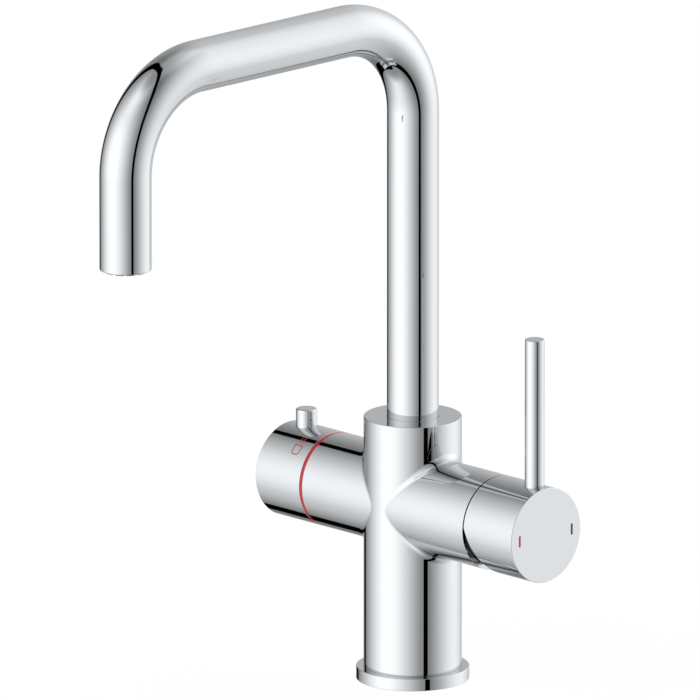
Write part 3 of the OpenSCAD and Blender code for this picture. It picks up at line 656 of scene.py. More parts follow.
@dataclass(frozen=True)
class CrossHole:
    """A round hole across a wall whose axis lies along X: its place, radius, depth and rim rounding."""

    x: float
    radius: float
    depth: float
    up: bool = True
    bend: float = 0.15
    sides: int = 72

    def cut(self, skin: Skin, wall_r: float) -> np.ndarray:
        """Draws the hole's rim and wall.

        Args:
            skin: the skin it belongs to.
            wall_r: radius of the round wall that it crosses.

        Returns:
            The hole's edge on that wall, as (angle, place along X).
        """
        turn = ring_angles(self.sides)
        sign = 1.0 if self.up else -1.0
        share = np.linspace(0, math.pi / 2, 6)[:, None]
        reach = self.radius + self.bend * (1 - np.sin(share))
        x = self.x + reach * np.cos(turn)
        y = reach * np.sin(turn)
        drop = self.bend * (1 - np.cos(share))
        z = ARM_Z + sign * (np.sqrt(wall_r ** 2 - y ** 2) - drop)
        out = np.stack([0 * y, y / wall_r, sign * np.sqrt(1 - (y / wall_r) ** 2)], -1)
        inward = np.stack(np.broadcast_arrays(-np.cos(turn)[None], -np.sin(turn)[None], 0 * y), -1)
        normals = np.cos(share)[..., None] * out + np.sin(share)[..., None] * inward
        points = np.stack([x, y, z], -1)
        skin.grid(points, normals / np.linalg.norm(normals, axis=-1, keepdims=True))
        foot = points[-1].copy()
        foot[:, 2] = ARM_Z + sign * (wall_r - self.depth)
        skin.sheet(points[-1], foot, inward[-1])
        lid = np.stack([np.full_like(foot, 0) + [self.x, 0, foot[0, 2]], foot])
        skin.grid(lid, np.broadcast_to(np.array([0, 0, sign]), lid.shape))
        return np.column_stack([np.arctan2(points[0, :-1, 1], points[0, :-1, 2] - ARM_Z), points[0, :-1, 0]])


class Maker:
    """Turns skins and trees into pieces that ride on bodies."""

    @staticmethod
    def piece(name: str, mesh: bpy.types.Mesh, part: Part, slot: Slot, replaces: Sequence[str] = ()) -> bpy.types.Object:
        """Makes one piece of the tap.

        Args:
            name: its name.
            mesh: its mesh, in place, in metres.
            part: the body that it rides on.
            slot: its finish.
            replaces: CAD nodes that it stands for.

        Returns:
            The object.
        """
        made = bpy.data.objects.new(name, mesh)
        bpy.context.scene.collection.objects.link(made)
        mesh.materials.clear()
        mesh.materials.append(PAINTS.get(slot))
        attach(made, part.value)
        if replaces:
            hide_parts(*replaces)
        log.info("%s: %d faces on %s", name, len(mesh.polygons), part.value)
        return made

    @staticmethod
    def grown(name: str, seed: bpy.types.Mesh, tree: bpy.types.NodeTree, inputs: dict[str, Any]) -> bpy.types.Mesh:
        """Runs a geometry tree on a seed mesh.

        Args:
            name: name of the result.
            seed: mesh that the tree starts from.
            tree: the tree.
            inputs: values of its named inputs.

        Returns:
            The plain mesh that the tree gives.
        """
        holder = bpy.data.objects.new(name + "_seed", seed)
        bpy.context.scene.collection.objects.link(holder)
        modifier = holder.modifiers.new("grow", "NODES")
        modifier.node_group = tree
        for item in tree.interface.items_tree:
            if item.item_type == "SOCKET" and item.in_out == "INPUT" and item.name in inputs:
                modifier[item.identifier] = inputs[item.name]
        holder.update_tag()
        bpy.context.view_layer.update()
        graph = bpy.context.evaluated_depsgraph_get()
        made = bpy.data.meshes.new_from_object(holder.evaluated_get(graph))
        made.name = name
        holder.modifiers.remove(modifier)
        bpy.data.objects.remove(holder)
        return made


def geometry_tree(name: str, inputs: Sequence[tuple[str, str, Any]]) -> tuple[Graph, bpy.types.Node, bpy.types.Node]:
    """Starts a geometry tree.

    Args:
        name: its name.
        inputs: name, socket type and default of each input after the geometry.

    Returns:
        The graph, its input node and its output node.
    """
    tree = bpy.data.node_groups.new(name, "GeometryNodeTree")
    tree.interface.new_socket("Geometry", in_out="INPUT", socket_type="NodeSocketGeometry")
    for label, kind, value in inputs:
        socket = tree.interface.new_socket(label, in_out="INPUT", socket_type=kind)
        if value is not None:
            socket.default_value = value
    tree.interface.new_socket("Geometry", in_out="OUTPUT", socket_type="NodeSocketGeometry")
    graph = Graph(tree)
    return graph, graph.node("NodeGroupInput"), graph.node("NodeGroupOutput")


def round_repeat() -> bpy.types.NodeTree:
    """Repeats its seed round the upright axis.

    Returns:
        The geometry tree.
    """
    graph, entry, exit_node = geometry_tree("round_repeat", [
        ("Count", "NodeSocketInt", 12), ("Finish", "NodeSocketMaterial", None)])
    count = graph.out(entry, "Count")
    points = graph.node("GeometryNodePoints", {}, {"Count": count})
    turn = graph.out(graph.node("GeometryNodeInputIndex")) * FULL_TURN / count
    way = graph.node("ShaderNodeCombineXYZ", {}, {"Z": turn})
    copies = graph.node("GeometryNodeInstanceOnPoints", {}, {
        "Points": graph.out(points), "Instance": graph.out(entry, "Geometry"), "Rotation": graph.out(way)})
    real = graph.node("GeometryNodeRealizeInstances", {}, {"Geometry": graph.out(copies)})
    painted = graph.node("GeometryNodeSetMaterial", {}, {
        "Geometry": graph.out(real), "Material": graph.out(entry, "Finish")})
    graph.tree.links.new(painted.outputs[0], exit_node.inputs[0])
    return graph.tree


def wound_wire() -> bpy.types.NodeTree:
    """Winds a wire round the upright axis, beside its seed.

    Returns:
        The geometry tree.
    """
    graph, entry, exit_node = geometry_tree("wound_wire", [
        ("Coil Radius", "NodeSocketFloat", 0.003), ("Coil Height", "NodeSocketFloat", 0.007),
        ("Turns", "NodeSocketFloat", 4.0), ("Wire Radius", "NodeSocketFloat", 0.0003),
        ("Wire Sides", "NodeSocketInt", 12), ("Steps", "NodeSocketInt", 32), ("Finish", "NodeSocketMaterial", None)])
    line = graph.node("GeometryNodeCurveSpiral", {}, {
        "Resolution": graph.out(entry, "Steps"), "Rotations": graph.out(entry, "Turns"),
        "Start Radius": graph.out(entry, "Coil Radius"), "End Radius": graph.out(entry, "Coil Radius"),
        "Height": graph.out(entry, "Coil Height")})
    ring = graph.node("GeometryNodeCurvePrimitiveCircle", {}, {
        "Resolution": graph.out(entry, "Wire Sides"), "Radius": graph.out(entry, "Wire Radius")})
    swept = graph.node("GeometryNodeCurveToMesh", {}, {
        "Curve": graph.out(line), "Profile Curve": graph.out(ring), "Fill Caps": True})
    both = graph.node("GeometryNodeJoinGeometry")
    graph.tree.links.new(swept.outputs[0], both.inputs[0])
    graph.tree.links.new(entry.outputs["Geometry"], both.inputs[0])
    real = graph.node("GeometryNodeRealizeInstances", {}, {"Geometry": graph.out(both)})
    painted = graph.node("GeometryNodeSetMaterial", {}, {
        "Geometry": graph.out(real), "Material": graph.out(entry, "Finish")})
    graph.tree.links.new(painted.outputs[0], exit_node.inputs[0])
    return graph.tree


def eased_prism(name: str, outline: Sequence[tuple[float, float]], low: float, high: float,
                ease: float) -> bpy.types.Mesh:
    """An upright prism with eased edges.

    Args:
        name: the mesh's name.
        outline: its outline in millimetres, counter-clockwise.
        low: its foot.
        high: its top.
        ease: width of the easing.

    Returns:
        The mesh, in metres.
    """
    shape = bmesh.new()
    corners = [shape.verts.new((x * MM, y * MM, low * MM)) for x, y in outline]
    foot = shape.faces.new(corners)
    grown = bmesh.ops.extrude_face_region(shape, geom=[foot])
    top = [item for item in grown["geom"] if isinstance(item, bmesh.types.BMVert)]
    bmesh.ops.translate(shape, verts=top, vec=(0.0, 0.0, (high - low) * MM))
    sharp = [edge for edge in shape.edges if edge.calc_face_angle(0.0) > math.radians(30)]
    bmesh.ops.bevel(shape, geom=sharp, offset=ease * MM, segments=2, profile=0.5, affect="EDGES")
    bmesh.ops.recalc_face_normals(shape, faces=shape.faces)
    made = bpy.data.meshes.new(name)
    shape.to_mesh(made)
    shape.free()
    return made


# ---------------------------------------------------------------- column and arms


@dataclass
class Column:
    """Column with its two cross arms, one casting, polished all over."""

    radius: float = 25.0
    top: float = 137.4
    foot: float = 6.4
    spigot_r: float = 22.0
    cavity_r: float = 19.0
    cavity_top: float = 42.0
    arm_r: float = 24.5
    mixer_end: float = 61.6
    boil_end: float = -55.8
    fillet: float = 4.5
    top_bend: float = 0.45
    end_bend: float = 0.12
    socket_r: float = 13.25
    socket_floor: float = 96.5
    screw_z: float = 126.0
    screw_hole_r: float = 2.15
    port_r: float = 4.45
    port_depth: float = 10.0
    way_r: float = 3.0
    stud_r: float = 2.5
    stud_depth: float = 14.0
    port_circle: float = 12.0
    samples: int = 288

    def ports(self) -> list[tuple[float, float]]:
        """Centres of the hot, cold and boiling-water inlets."""
        return [(self.port_circle * math.cos(a), self.port_circle * math.sin(a))
                for a in (-math.pi / 3, math.pi / 3, math.pi)]

    def studs(self) -> list[tuple[float, float]]:
        """Centres of the two stud holes."""
        return [(-7.0, -12.1), (-7.0, 12.1)]

    def _arm(self, skin: Skin, side: float) -> np.ndarray:
        """Draws one arm and the rounding where it leaves the column.

        Args:
            skin: the skin it belongs to.
            side: 1 for the mixer arm, -1 for the boiling-water arm.

        Returns:
            The rounding's edge on the column, as (angle, height).
        """
        big, small = self.radius + self.fillet, self.arm_r + self.fillet
        turn = ring_angles(self.samples)
        y, z = small * np.sin(turn), small * np.cos(turn)
        x = side * np.sqrt(big ** 2 - y ** 2)
        to_column = np.column_stack([x, y, 0 * x]) / big
        to_arm = np.column_stack([0 * x, y, z]) / small
        centre = np.column_stack([x, y, z + ARM_Z])
        share = np.linspace(0, 1, 15)[:, None, None]
        normals = slerp(to_column[None], to_arm[None], share)
        points = centre[None] - self.fillet * normals
        skin.grid(points, normals)
        end = (self.mixer_end - self.end_bend) if side > 0 else (self.boil_end + self.end_bend)
        rows = [points[-1]]
        for share_out in (0.03, 0.2, 0.5, 0.8, 1.0):
            row = points[-1].copy()
            row[:, 0] += share_out * (end - row[:, 0])
            rows.append(row)
        skin.grid(np.stack(rows), np.broadcast_to(to_arm, (len(rows), *to_arm.shape)))
        edge = points[0, :-1]
        return np.column_stack([np.arctan2(edge[:, 1], edge[:, 0]), edge[:, 2]])

    def _screw_hole(self, skin: Skin) -> np.ndarray:
        """Draws the screw hole at the back of the column.

        Args:
            skin: the skin it belongs to.

        Returns:
            Its edge on the column, as (angle, height).
        """
        bend = 0.15
        turn = ring_angles(48)
        share = np.linspace(0, math.pi / 2, 5)[:, None]
        reach = self.screw_hole_r + bend * (1 - np.sin(share))
        x, z = reach * np.cos(turn), self.screw_z + reach * np.sin(turn)
        y = np.sqrt(self.radius ** 2 - x ** 2) - bend * (1 - np.cos(share))
        out = np.stack([x / self.radius, np.sqrt(1 - (x / self.radius) ** 2), 0 * x], -1)
        inward = np.stack(np.broadcast_arrays(-np.cos(turn)[None], 0 * x, -np.sin(turn)[None]), -1)
        normals = np.cos(share)[..., None] * out + np.sin(share)[..., None] * inward
        points = np.stack([x, y, z], -1)
        skin.grid(points, normals / np.linalg.norm(normals, axis=-1, keepdims=True))
        foot = points[-1].copy()
        foot[:, 1] = self.socket_r + 0.3
        skin.sheet(points[-1], foot, inward[-1])
        lid = np.stack([np.zeros_like(foot) + [0, foot[0, 1], self.screw_z], foot])
        skin.grid(lid, np.broadcast_to(np.array([0.0, 1.0, 0.0]), lid.shape))
        edge = points[0, :-1]
        return np.column_stack([np.arctan2(edge[:, 1], edge[:, 0]), edge[:, 2]])

    def build(self) -> Skin:
        """Draws the whole casting.

        Returns:
            Its skin.
        """
        skin = Skin()
        right = self._arm(skin, 1.0)
        left = self._arm(skin, -1.0)
        screw = self._screw_hole(skin)
        foot_bend = 0.15
        low, high = self.foot + foot_bend, self.top - self.top_bend
        # the wall is cut open along the front, so that neither arm's edge crosses the seam
        start = -math.pi / 2
        shift = lambda loop: np.column_stack([(loop[:, 0] - start) % FULL_TURN + start, loop[:, 1]])
        angles = start + ring_angles(160)
        heights = np.linspace(low, high, 84)
        outline = np.concatenate([
            np.column_stack([angles[:-1], np.full(160, low)]),
            np.column_stack([np.full(83, angles[-1]), heights[:-1]]),
            np.column_stack([angles[:0:-1], np.full(160, high)]),
            np.column_stack([np.full(83, angles[0]), heights[:0:-1]])])
        skin.wall(COLUMN_AXIS, self.radius, outline, [shift(right), shift(left), shift(screw)], 1.3)
        foot_ring = [Corner(self.cavity_r, self.cavity_top), Corner(self.cavity_r, 1.0, 0.3),
                     Corner(self.spigot_r, 1.0, 0.3), Corner(self.spigot_r, self.foot),
                     Corner(self.radius, self.foot, foot_bend), Corner(self.radius, low)]
        skin.lathe(COLUMN_AXIS, foot_ring, angles=angles)
        top_ring = [Corner(self.radius, high), Corner(self.radius, self.top, self.top_bend),
                    Corner(self.socket_r, self.top, 0.25), Corner(self.socket_r, self.socket_floor),
                    Corner(0.0, self.socket_floor)]
        skin.lathe(COLUMN_AXIS, top_ring, angles=angles)
        self._ceiling(skin, angles)
        self._ends(skin)
        return skin

    def _ceiling(self, skin: Skin, angles: np.ndarray) -> None:
        """Draws the ceiling of the space in the foot, with its tapped holes.

        Args:
            skin: the skin it belongs to.
            angles: angles of the space's wall.
        """
        rim = np.column_stack([self.cavity_r * np.cos(angles[:-1]), self.cavity_r * np.sin(angles[:-1])])
        loops, lead = [rim], 0.35
        for at, radius, depth, end_r in (
                [(p, self.port_r, self.port_depth, self.way_r) for p in self.ports()]
                + [(p, self.stud_r, self.stud_depth, 0.0) for p in self.studs()]):
            loops.append(circle(at, radius + lead, 64))
            top = self.cavity_top + depth
            profile = [Corner(0.0, top + 18.0 if end_r else top + 1.2)]
            if end_r:
                profile += [Corner(end_r, top + 17.0), Corner(end_r, top + 0.8)]
            profile += [Corner(radius, top), Corner(radius, self.cavity_top + lead),
                        Corner(radius + lead, self.cavity_top)]
            skin.lathe(Axis(Way.UP, at[0], at[1]), profile, sides=64)
        skin.flat_plate(loops, self.cavity_top, (0.0, 0.0, -1.0))

    def _ends(self, skin: Skin) -> None:
        """Draws the arms' end faces and the bores that take the cartridge and the valve."""
        turn = ring_angles(self.samples)
        mixer = [Corner(self.arm_r, self.mixer_end - self.end_bend), Corner(self.arm_r, self.mixer_end, self.end_bend),
                 Corner(20.4, self.mixer_end, 0.2), Corner(20.4, 46.0), Corner(17.6, 46.0), Corner(17.6, 26.0),
                 Corner(0.0, 26.0)]
        skin.lathe(ARM_AXIS, mixer, angles=turn)
        boil = [Corner(0.0, -24.0), Corner(11.2, -24.0), Corner(11.2, -46.0), Corner(20.0, -46.0),
                Corner(20.0, self.boil_end, 0.2), Corner(self.arm_r, self.boil_end, self.end_bend),
                Corner(self.arm_r, self.boil_end + self.end_bend)]
        skin.lathe(ARM_AXIS, boil, angles=turn)

    def dress(self) -> None:
        """Makes the column and the ring under it."""
        Maker.piece("column_casting", self.build().mesh("column_casting"), Part.TAP, Slot.CHROME, ["tap_body"])
        ring = Skin()
        ring.lathe(COLUMN_AXIS, [
            Corner(28.85, 0.0, 0.3), Corner(28.85, self.foot, 0.45), Corner(24.3, self.foot), Corner(24.3, 4.4),
            Corner(22.05, 4.4), Corner(22.05, 0.0), Corner(23.5, 0.0), Corner(23.5, 1.6), Corner(27.05, 1.6),
            Corner(27.05, 0.0)], closed=True, sides=256)
        Maker.piece("deck_ring", ring.mesh("deck_ring"), Part.TAP, Slot.CHROME, ["base_ring"])


# ---------------------------------------------------------------- spout


@dataclass
class Spout:
    """Swivel spout: a bent tube swept along its centre line, with rounded lips."""

    radius: float = 13.2
    bore: float = 11.7
    foot: float = 131.0
    crown: float = 346.5
    reach: float = 200.4
    bend: float = 49.3
    mouth: float = 249.8
    lip: float = 0.5
    sides: int = 144
    bend_steps: int = 56

    def tree(self) -> bpy.types.NodeTree:
        """Sweeps circles along the seed's edges, with its corners rounded.

        Returns:
            The geometry tree.
        """
        graph, entry, exit_node = geometry_tree("spout_sweep", [
            ("Bend Radius", "NodeSocketFloat", self.bend * MM), ("Outer Radius", "NodeSocketFloat", self.radius * MM),
            ("Bore Radius", "NodeSocketFloat", self.bore * MM), ("Sides", "NodeSocketInt", self.sides),
            ("Bend Steps", "NodeSocketInt", self.bend_steps), ("Finish", "NodeSocketMaterial", None)])
        line = graph.node("GeometryNodeMeshToCurve", {}, {"Mesh": graph.out(entry, "Geometry")})
        path = graph.node("GeometryNodeFilletCurve", {"mode": "POLY"}, {
            "Curve": graph.out(line), "Count": graph.out(entry, "Bend Steps"),
            "Radius": graph.out(entry, "Bend Radius")})
        outer = graph.node("GeometryNodeCurvePrimitiveCircle", {}, {
            "Resolution": graph.out(entry, "Sides"), "Radius": graph.out(entry, "Outer Radius")})
        bore = graph.node("GeometryNodeCurvePrimitiveCircle", {}, {
            "Resolution": graph.out(entry, "Sides"), "Radius": graph.out(entry, "Bore Radius")})
        skin = graph.node("GeometryNodeCurveToMesh", {}, {"Curve": graph.out(path), "Profile Curve": graph.out(outer)})
        inner = graph.node("GeometryNodeCurveToMesh", {}, {"Curve": graph.out(path), "Profile Curve": graph.out(bore)})
        turned = graph.node("GeometryNodeFlipFaces", {}, {"Mesh": graph.out(inner)})
        both = graph.node("GeometryNodeJoinGeometry")
        graph.tree.links.new(turned.outputs[0], both.inputs[0])
        graph.tree.links.new(skin.outputs[0], both.inputs[0])
        real = graph.node("GeometryNodeRealizeInstances", {}, {"Geometry": graph.out(both)})
        painted = graph.node("GeometryNodeSetMaterial", {}, {
            "Geometry": graph.out(real), "Material": graph.out(entry, "Finish")})
        graph.tree.links.new(painted.outputs[0], exit_node.inputs[0])
        return graph.tree

    def centre(self, points: np.ndarray) -> np.ndarray:
        """Nearest points of the spout's centre line.

        Args:
            points: places in millimetres.

        Returns:
            A point of the centre line for each.
        """
        y, z = points[:, 1], points[:, 2]
        bend_z = self.crown - self.bend
        near, far = -self.bend, self.bend - self.reach
        middle = np.zeros_like(points)
        up = z <= bend_z
        middle[:, 1] = np.where(up, np.where(y > -self.reach / 2, 0.0, -self.reach), y)
        middle[:, 2] = np.where(up, z, self.crown)
        for at, mask in ((near, ~up & (y > near)), (far, ~up & (y < far))):
            away = np.column_stack([y - at, z - bend_z])
            length = np.maximum(np.linalg.norm(away, axis=1), 1e-9)
            middle[mask, 1] = (at + self.bend * away[:, 0] / length)[mask]
            middle[mask, 2] = (bend_z + self.bend * away[:, 1] / length)[mask]
        return middle

    def build(self) -> Skin:
        """Draws the tube from the sweep, with exact normals, and its lips.

        Returns:
            Its skin.
        """
        seed = bpy.data.meshes.new("spout_line")
        line = [(0, 0, self.foot + self.lip), (0, 0, self.crown), (0, -self.reach, self.crown),
                (0, -self.reach, self.mouth + self.lip)]
        seed.from_pydata([Vector(p) * MM for p in line], [(0, 1), (1, 2), (2, 3)], [])
        swept = Maker.grown("spout_swept", seed, self.tree(), {
            "Bend Radius": self.bend * MM, "Outer Radius": self.radius * MM, "Bore Radius": self.bore * MM,
            "Sides": self.sides, "Bend Steps": self.bend_steps, "Finish": PAINTS.get(Slot.CHROME)})
        points = np.array([v.co for v in swept.vertices], float) / MM
        faces = np.array([p.vertices[:] for p in swept.polygons])
        away = points - self.centre(points)
        length = np.linalg.norm(away, axis=1, keepdims=True)
        middle = (self.radius + self.bore) / 2
        sign = np.where(length > middle, 1.0, -1.0)
        size = np.where(length > middle, self.radius, self.bore)
        points = self.centre(points) + away / length * size
        step = FULL_TURN / self.sides
        for y, z in ((0.0, self.foot), (-self.reach, self.mouth)):
            end = (np.abs(points[:, 2] - z - self.lip) < 0.01) & (np.abs(points[:, 1] - y) < 2 * self.radius)
            turn = np.round(np.arctan2(points[end, 1] - y, points[end, 0]) / step) * step
            points[end] = Axis(Way.UP, 0.0, y).point(size[end, 0], turn, np.full_like(turn, z + self.lip))
        skin = Skin()
        skin.patch(points, sign * away / length, faces)
        for y, z, way in ((0.0, self.foot, 1.0), (-self.reach, self.mouth, 1.0)):
            skin.lathe(Axis(Way.UP, 0.0, y), [
                Corner(self.bore, z + self.lip), Corner(self.bore, z, 0.25), Corner(self.radius, z, self.lip),
                Corner(self.radius, z + self.lip * way)], sides=self.sides)
        return skin

    def dress(self) -> None:
        """Makes the spout tube."""
        Maker.piece("spout_pipe", self.build().mesh("spout_pipe"), Part.SPOUT, Slot.CHROME, ["spout_tube"])


@dataclass
class Nozzle:
    """Nozzle in the spout's mouth: a ring with key notches, webs, and a hub round the boiling-water tube."""

    reach: float = 200.4
    mouth: float = 249.8
    proud: float = 0.7
    radius: float = 11.55
    bore: float = 9.35
    height: float = 5.0
    notches: int = 12
    notch_half: float = 0.8
    notch_top: float = 0.1
    notch_floor: float = 10.45
    hub_r: float = 4.4
    hub_bore: float = 3.05
    hub_foot: float = -0.4
    hub_top: float = 4.0
    webs: int = 3
    web_half: float = 0.6
    web_start: float = 4.2
    web_end: float = 9.6
    ease: float = 0.12

    def tooth(self) -> bpy.types.Mesh:
        """Draws the tooth that is left between two notches.

        Returns:
            Its mesh.
        """
        half_step = math.pi / self.notches
        wide = half_step - math.asin(self.notch_half / self.radius)
        narrow = half_step - math.asin(self.notch_half / self.notch_floor)
        outer = [(self.radius * math.cos(a), self.radius * math.sin(a)) for a in np.linspace(-wide, wide, 9)]
        inner_r = self.notch_floor - 0.05
        inner = [(inner_r * math.cos(a), inner_r * math.sin(a)) for a in np.linspace(narrow, -narrow, 9)]
        return eased_prism("nozzle_tooth", outer + inner, -self.proud, self.notch_top + 0.15, self.ease)

    def dress(self) -> None:
        """Makes the ring, its teeth, the webs and the hub."""
        axis = Axis(Way.UP, 0.0, -self.reach, self.mouth)
        ring = Skin()
        ring.lathe(axis, [
            Corner(self.bore, -self.proud, 0.2), Corner(self.notch_floor, -self.proud, self.ease),
            Corner(self.notch_floor, self.notch_top), Corner(self.radius, self.notch_top, self.ease),
            Corner(self.radius, self.height, 0.2), Corner(self.bore, self.height, 0.2)], closed=True, sides=144)
        ring.lathe(axis, [
            Corner(self.hub_bore, self.hub_foot, self.ease), Corner(self.hub_r, self.hub_foot, 0.3),
            Corner(self.hub_r, self.hub_top, 0.2), Corner(self.hub_bore, self.hub_top, 0.1)], closed=True, sides=72)
        Maker.piece("nozzle_body", ring.mesh("nozzle_body"), Part.SPOUT, Slot.GREY, ["nozzle_ring"])
        web = eased_prism("nozzle_web", [
            (self.web_start, -self.web_half), (self.web_end, -self.web_half), (self.web_end, self.web_half),
            (self.web_start, self.web_half)], 0.0, self.hub_top, self.ease)
        place = Matrix.Translation(Vector((0.0, -self.reach, self.mouth)) * MM)
        tree = round_repeat()
        for name, seed, count in (("nozzle_teeth", self.tooth(), self.notches), ("nozzle_webs", web, self.webs)):
            made = Maker.grown(name, seed, tree, {"Count": count, "Finish": PAINTS.get(Slot.GREY)})
            made.transform(place)
            Maker.piece(name, made, Part.SPOUT, Slot.GREY)


# ---------------------------------------------------------------- mixer handle


@dataclass
class MixerHandle:
    """Handle cap with its cut-away skirt, the lever rod, and the dome under them."""

    start: float = 62.4
    end: float = 97.0
    radius: float = 24.5
    bore: float = 23.2
    floor: float = 80.8
    cut_top: float = 2.0
    cut_slope: float = 0.4
    rod_x: float = 88.8
    rod_r: float = 5.0
    rod_foot: float = 103.0
    rod_top: float = 194.0
    face_bend: float = 0.34
    skirt_bend: float = 0.08
    screw_r: float = 2.55
    pivot: float = 57.0
    dome_r: float = 22.8
    dome_bore: float = 21.4
    dome_mouth: float = 13.6
    samples: int = 240

    def _skirt_x(self, height: np.ndarray) -> np.ndarray:
        """Where the skirt begins at a height above the axis."""
        return self.start + np.maximum(0.0, self.cut_top - height) * self.cut_slope

    def cap(self) -> Skin:
        """Draws the cap.

        Returns:
            Its skin.
        """
        skin = Skin()
        knee = math.acos(self.cut_top / self.radius)
        turn = np.unique(np.concatenate([np.linspace(-math.pi, math.pi, self.samples + 1), [-knee, knee]]))
        lean = np.array([-math.cos(math.atan(self.cut_slope)), 0.0, -math.sin(math.atan(self.cut_slope))])
        rows = {}
        for size, sign in ((self.radius, 1.0), (self.bore, -1.0)):
            height = size * np.cos(turn)
            at = ARM_AXIS.point(np.full_like(turn, size), turn, self._skirt_x(height))
            radial = sign * ARM_AXIS.turn(np.ones_like(turn), turn, 0 * turn)
            face = np.where((height < self.cut_top)[:, None], lean, np.array([-1.0, 0.0, 0.0]))
            bend = self.skirt_bend if sign > 0 else self.skirt_bend * 0.6
            rows[sign] = (*skin.edge(at, radial, face, bend, size), face)
        skin.sheet(rows[1.0][1], rows[-1.0][1], rows[1.0][2])
        lever = CrossHole(self.rod_x, self.rod_r + 0.06, 12.0, True, 0.12)
        screw = CrossHole(self.rod_x, self.screw_r, 1.6, False, 0.12)
        holes = [lever.cut(skin, self.radius), screw.cut(skin, self.radius)]
        holes[1][:, 0] = np.where(holes[1][:, 0] > 0, holes[1][:, 0] - FULL_TURN, holes[1][:, 0])
        edge = rows[1.0][0]
        skirt = np.column_stack([np.arctan2(edge[:, 1], edge[:, 2] - ARM_Z), edge[:, 0]])
        skirt[0, 0], skirt[-1, 0] = -math.pi, math.pi
        far = self.end - self.face_bend
        # cut open along the right flank, clear of both holes
        opened = self._reopen(skirt)
        spaced = np.linspace(opened[-1, 1], far, 14)[1:]
        far_row = np.column_stack([opened[::-1, 0], np.full(len(opened), far)])
        outline = np.concatenate([opened, np.column_stack([np.full(12, opened[-1, 0]), spaced[:-1]]), far_row,
                                  np.column_stack([np.full(12, opened[0, 0]), spaced[:-1][::-1]])])
        skin.wall(ARM_AXIS, self.radius, outline, holes, 1.3)
        around = opened[:, 0]
        skin.lathe(ARM_AXIS, [Corner(self.radius, far), Corner(self.radius, self.end, self.face_bend),
                              Corner(0.0, self.end)], angles=around)
        inner = rows[-1.0][0]
        back = inner.copy()
        back[:, 0] = self.floor
        skin.sheet(inner, back, -ARM_AXIS.turn(np.ones_like(turn), turn, 0 * turn))
        lid = np.stack([back, np.zeros_like(back) + [self.floor, 0, ARM_Z]])
        skin.grid(lid, np.broadcast_to(np.array([-1.0, 0.0, 0.0]), lid.shape))
        return skin

    @staticmethod
    def _reopen(row: np.ndarray) -> np.ndarray:
        """Moves the seam of a row of (angle, place) points from the bottom to the flank.

        Args:
            row: points from -180 to 180 degrees.

        Returns:
            The same points from 90 degrees on, the first one repeated a turn later.
        """
        body = row[:-1]
        split = int(np.argmin(np.abs(body[:, 0] - math.pi / 2)))
        moved = np.concatenate([body[split:], body[:split] + [FULL_TURN, 0.0]])
        return np.concatenate([moved, moved[:1] + [FULL_TURN, 0.0]]) - [FULL_TURN, 0.0]

    def dress(self) -> None:
        """Makes the cap, the rod and the dome."""
        Maker.piece("handle_shell", self.cap().mesh("handle_shell"), Part.HANDLE, Slot.CHROME, ["handle_cap"])
        rod = Skin()
        rod.lathe(Axis(Way.UP, self.rod_x), [
            Corner(0.0, self.rod_foot), Corner(self.rod_r, self.rod_foot, 0.3), Corner(self.rod_r, self.rod_top, 0.45),
            Corner(0.0, self.rod_top)], sides=128)
        Maker.piece("lever_bar", rod.mesh("lever_bar"), Part.HANDLE, Slot.CHROME, ["lever_rod"])
        dome = Skin()
        dome.lathe(ARM_AXIS, self._dome_profile(), closed=True, sides=160, steps=4)
        # the dome takes the near-black inner chrome, which is painted shade for the gap it sits in
        Maker.piece("ball_dome", dome.mesh("ball_dome"), Part.TAP, Slot.INNER_CHROME_PAINTED_SHADE, ["dome_cover"])

    def _dome_profile(self) -> list[Corner]:
        """Profile of the dome: two arcs about the tilt axis and the threaded skirt behind them."""
        face = 61.6
        rim = (self.dome_r + self.dome_bore) / 2 - 0.7
        low = math.asin((face - self.pivot) / self.dome_r)
        high = math.acos(self.dome_mouth / self.dome_r)
        outer = [Corner(self.dome_r * math.cos(a), self.pivot + self.dome_r * math.sin(a))
                 for a in np.linspace(low, high, 40)]
        low_in = math.asin((face - self.pivot) / self.dome_bore)
        high_in = math.acos(self.dome_mouth / self.dome_bore)
        inner = [Corner(self.dome_bore * math.cos(a), self.pivot + self.dome_bore * math.sin(a))
                 for a in np.linspace(high_in, low_in + 0.06, 30)]
        skirt = [Corner(rim, face + 1.0), Corner(18.6, face + 1.0), Corner(18.6, face - 2.8),
                 Corner(20.35, face - 2.8), Corner(20.35, face)]
        return outer + inner + skirt


# ---------------------------------------------------------------- boiling-water knob


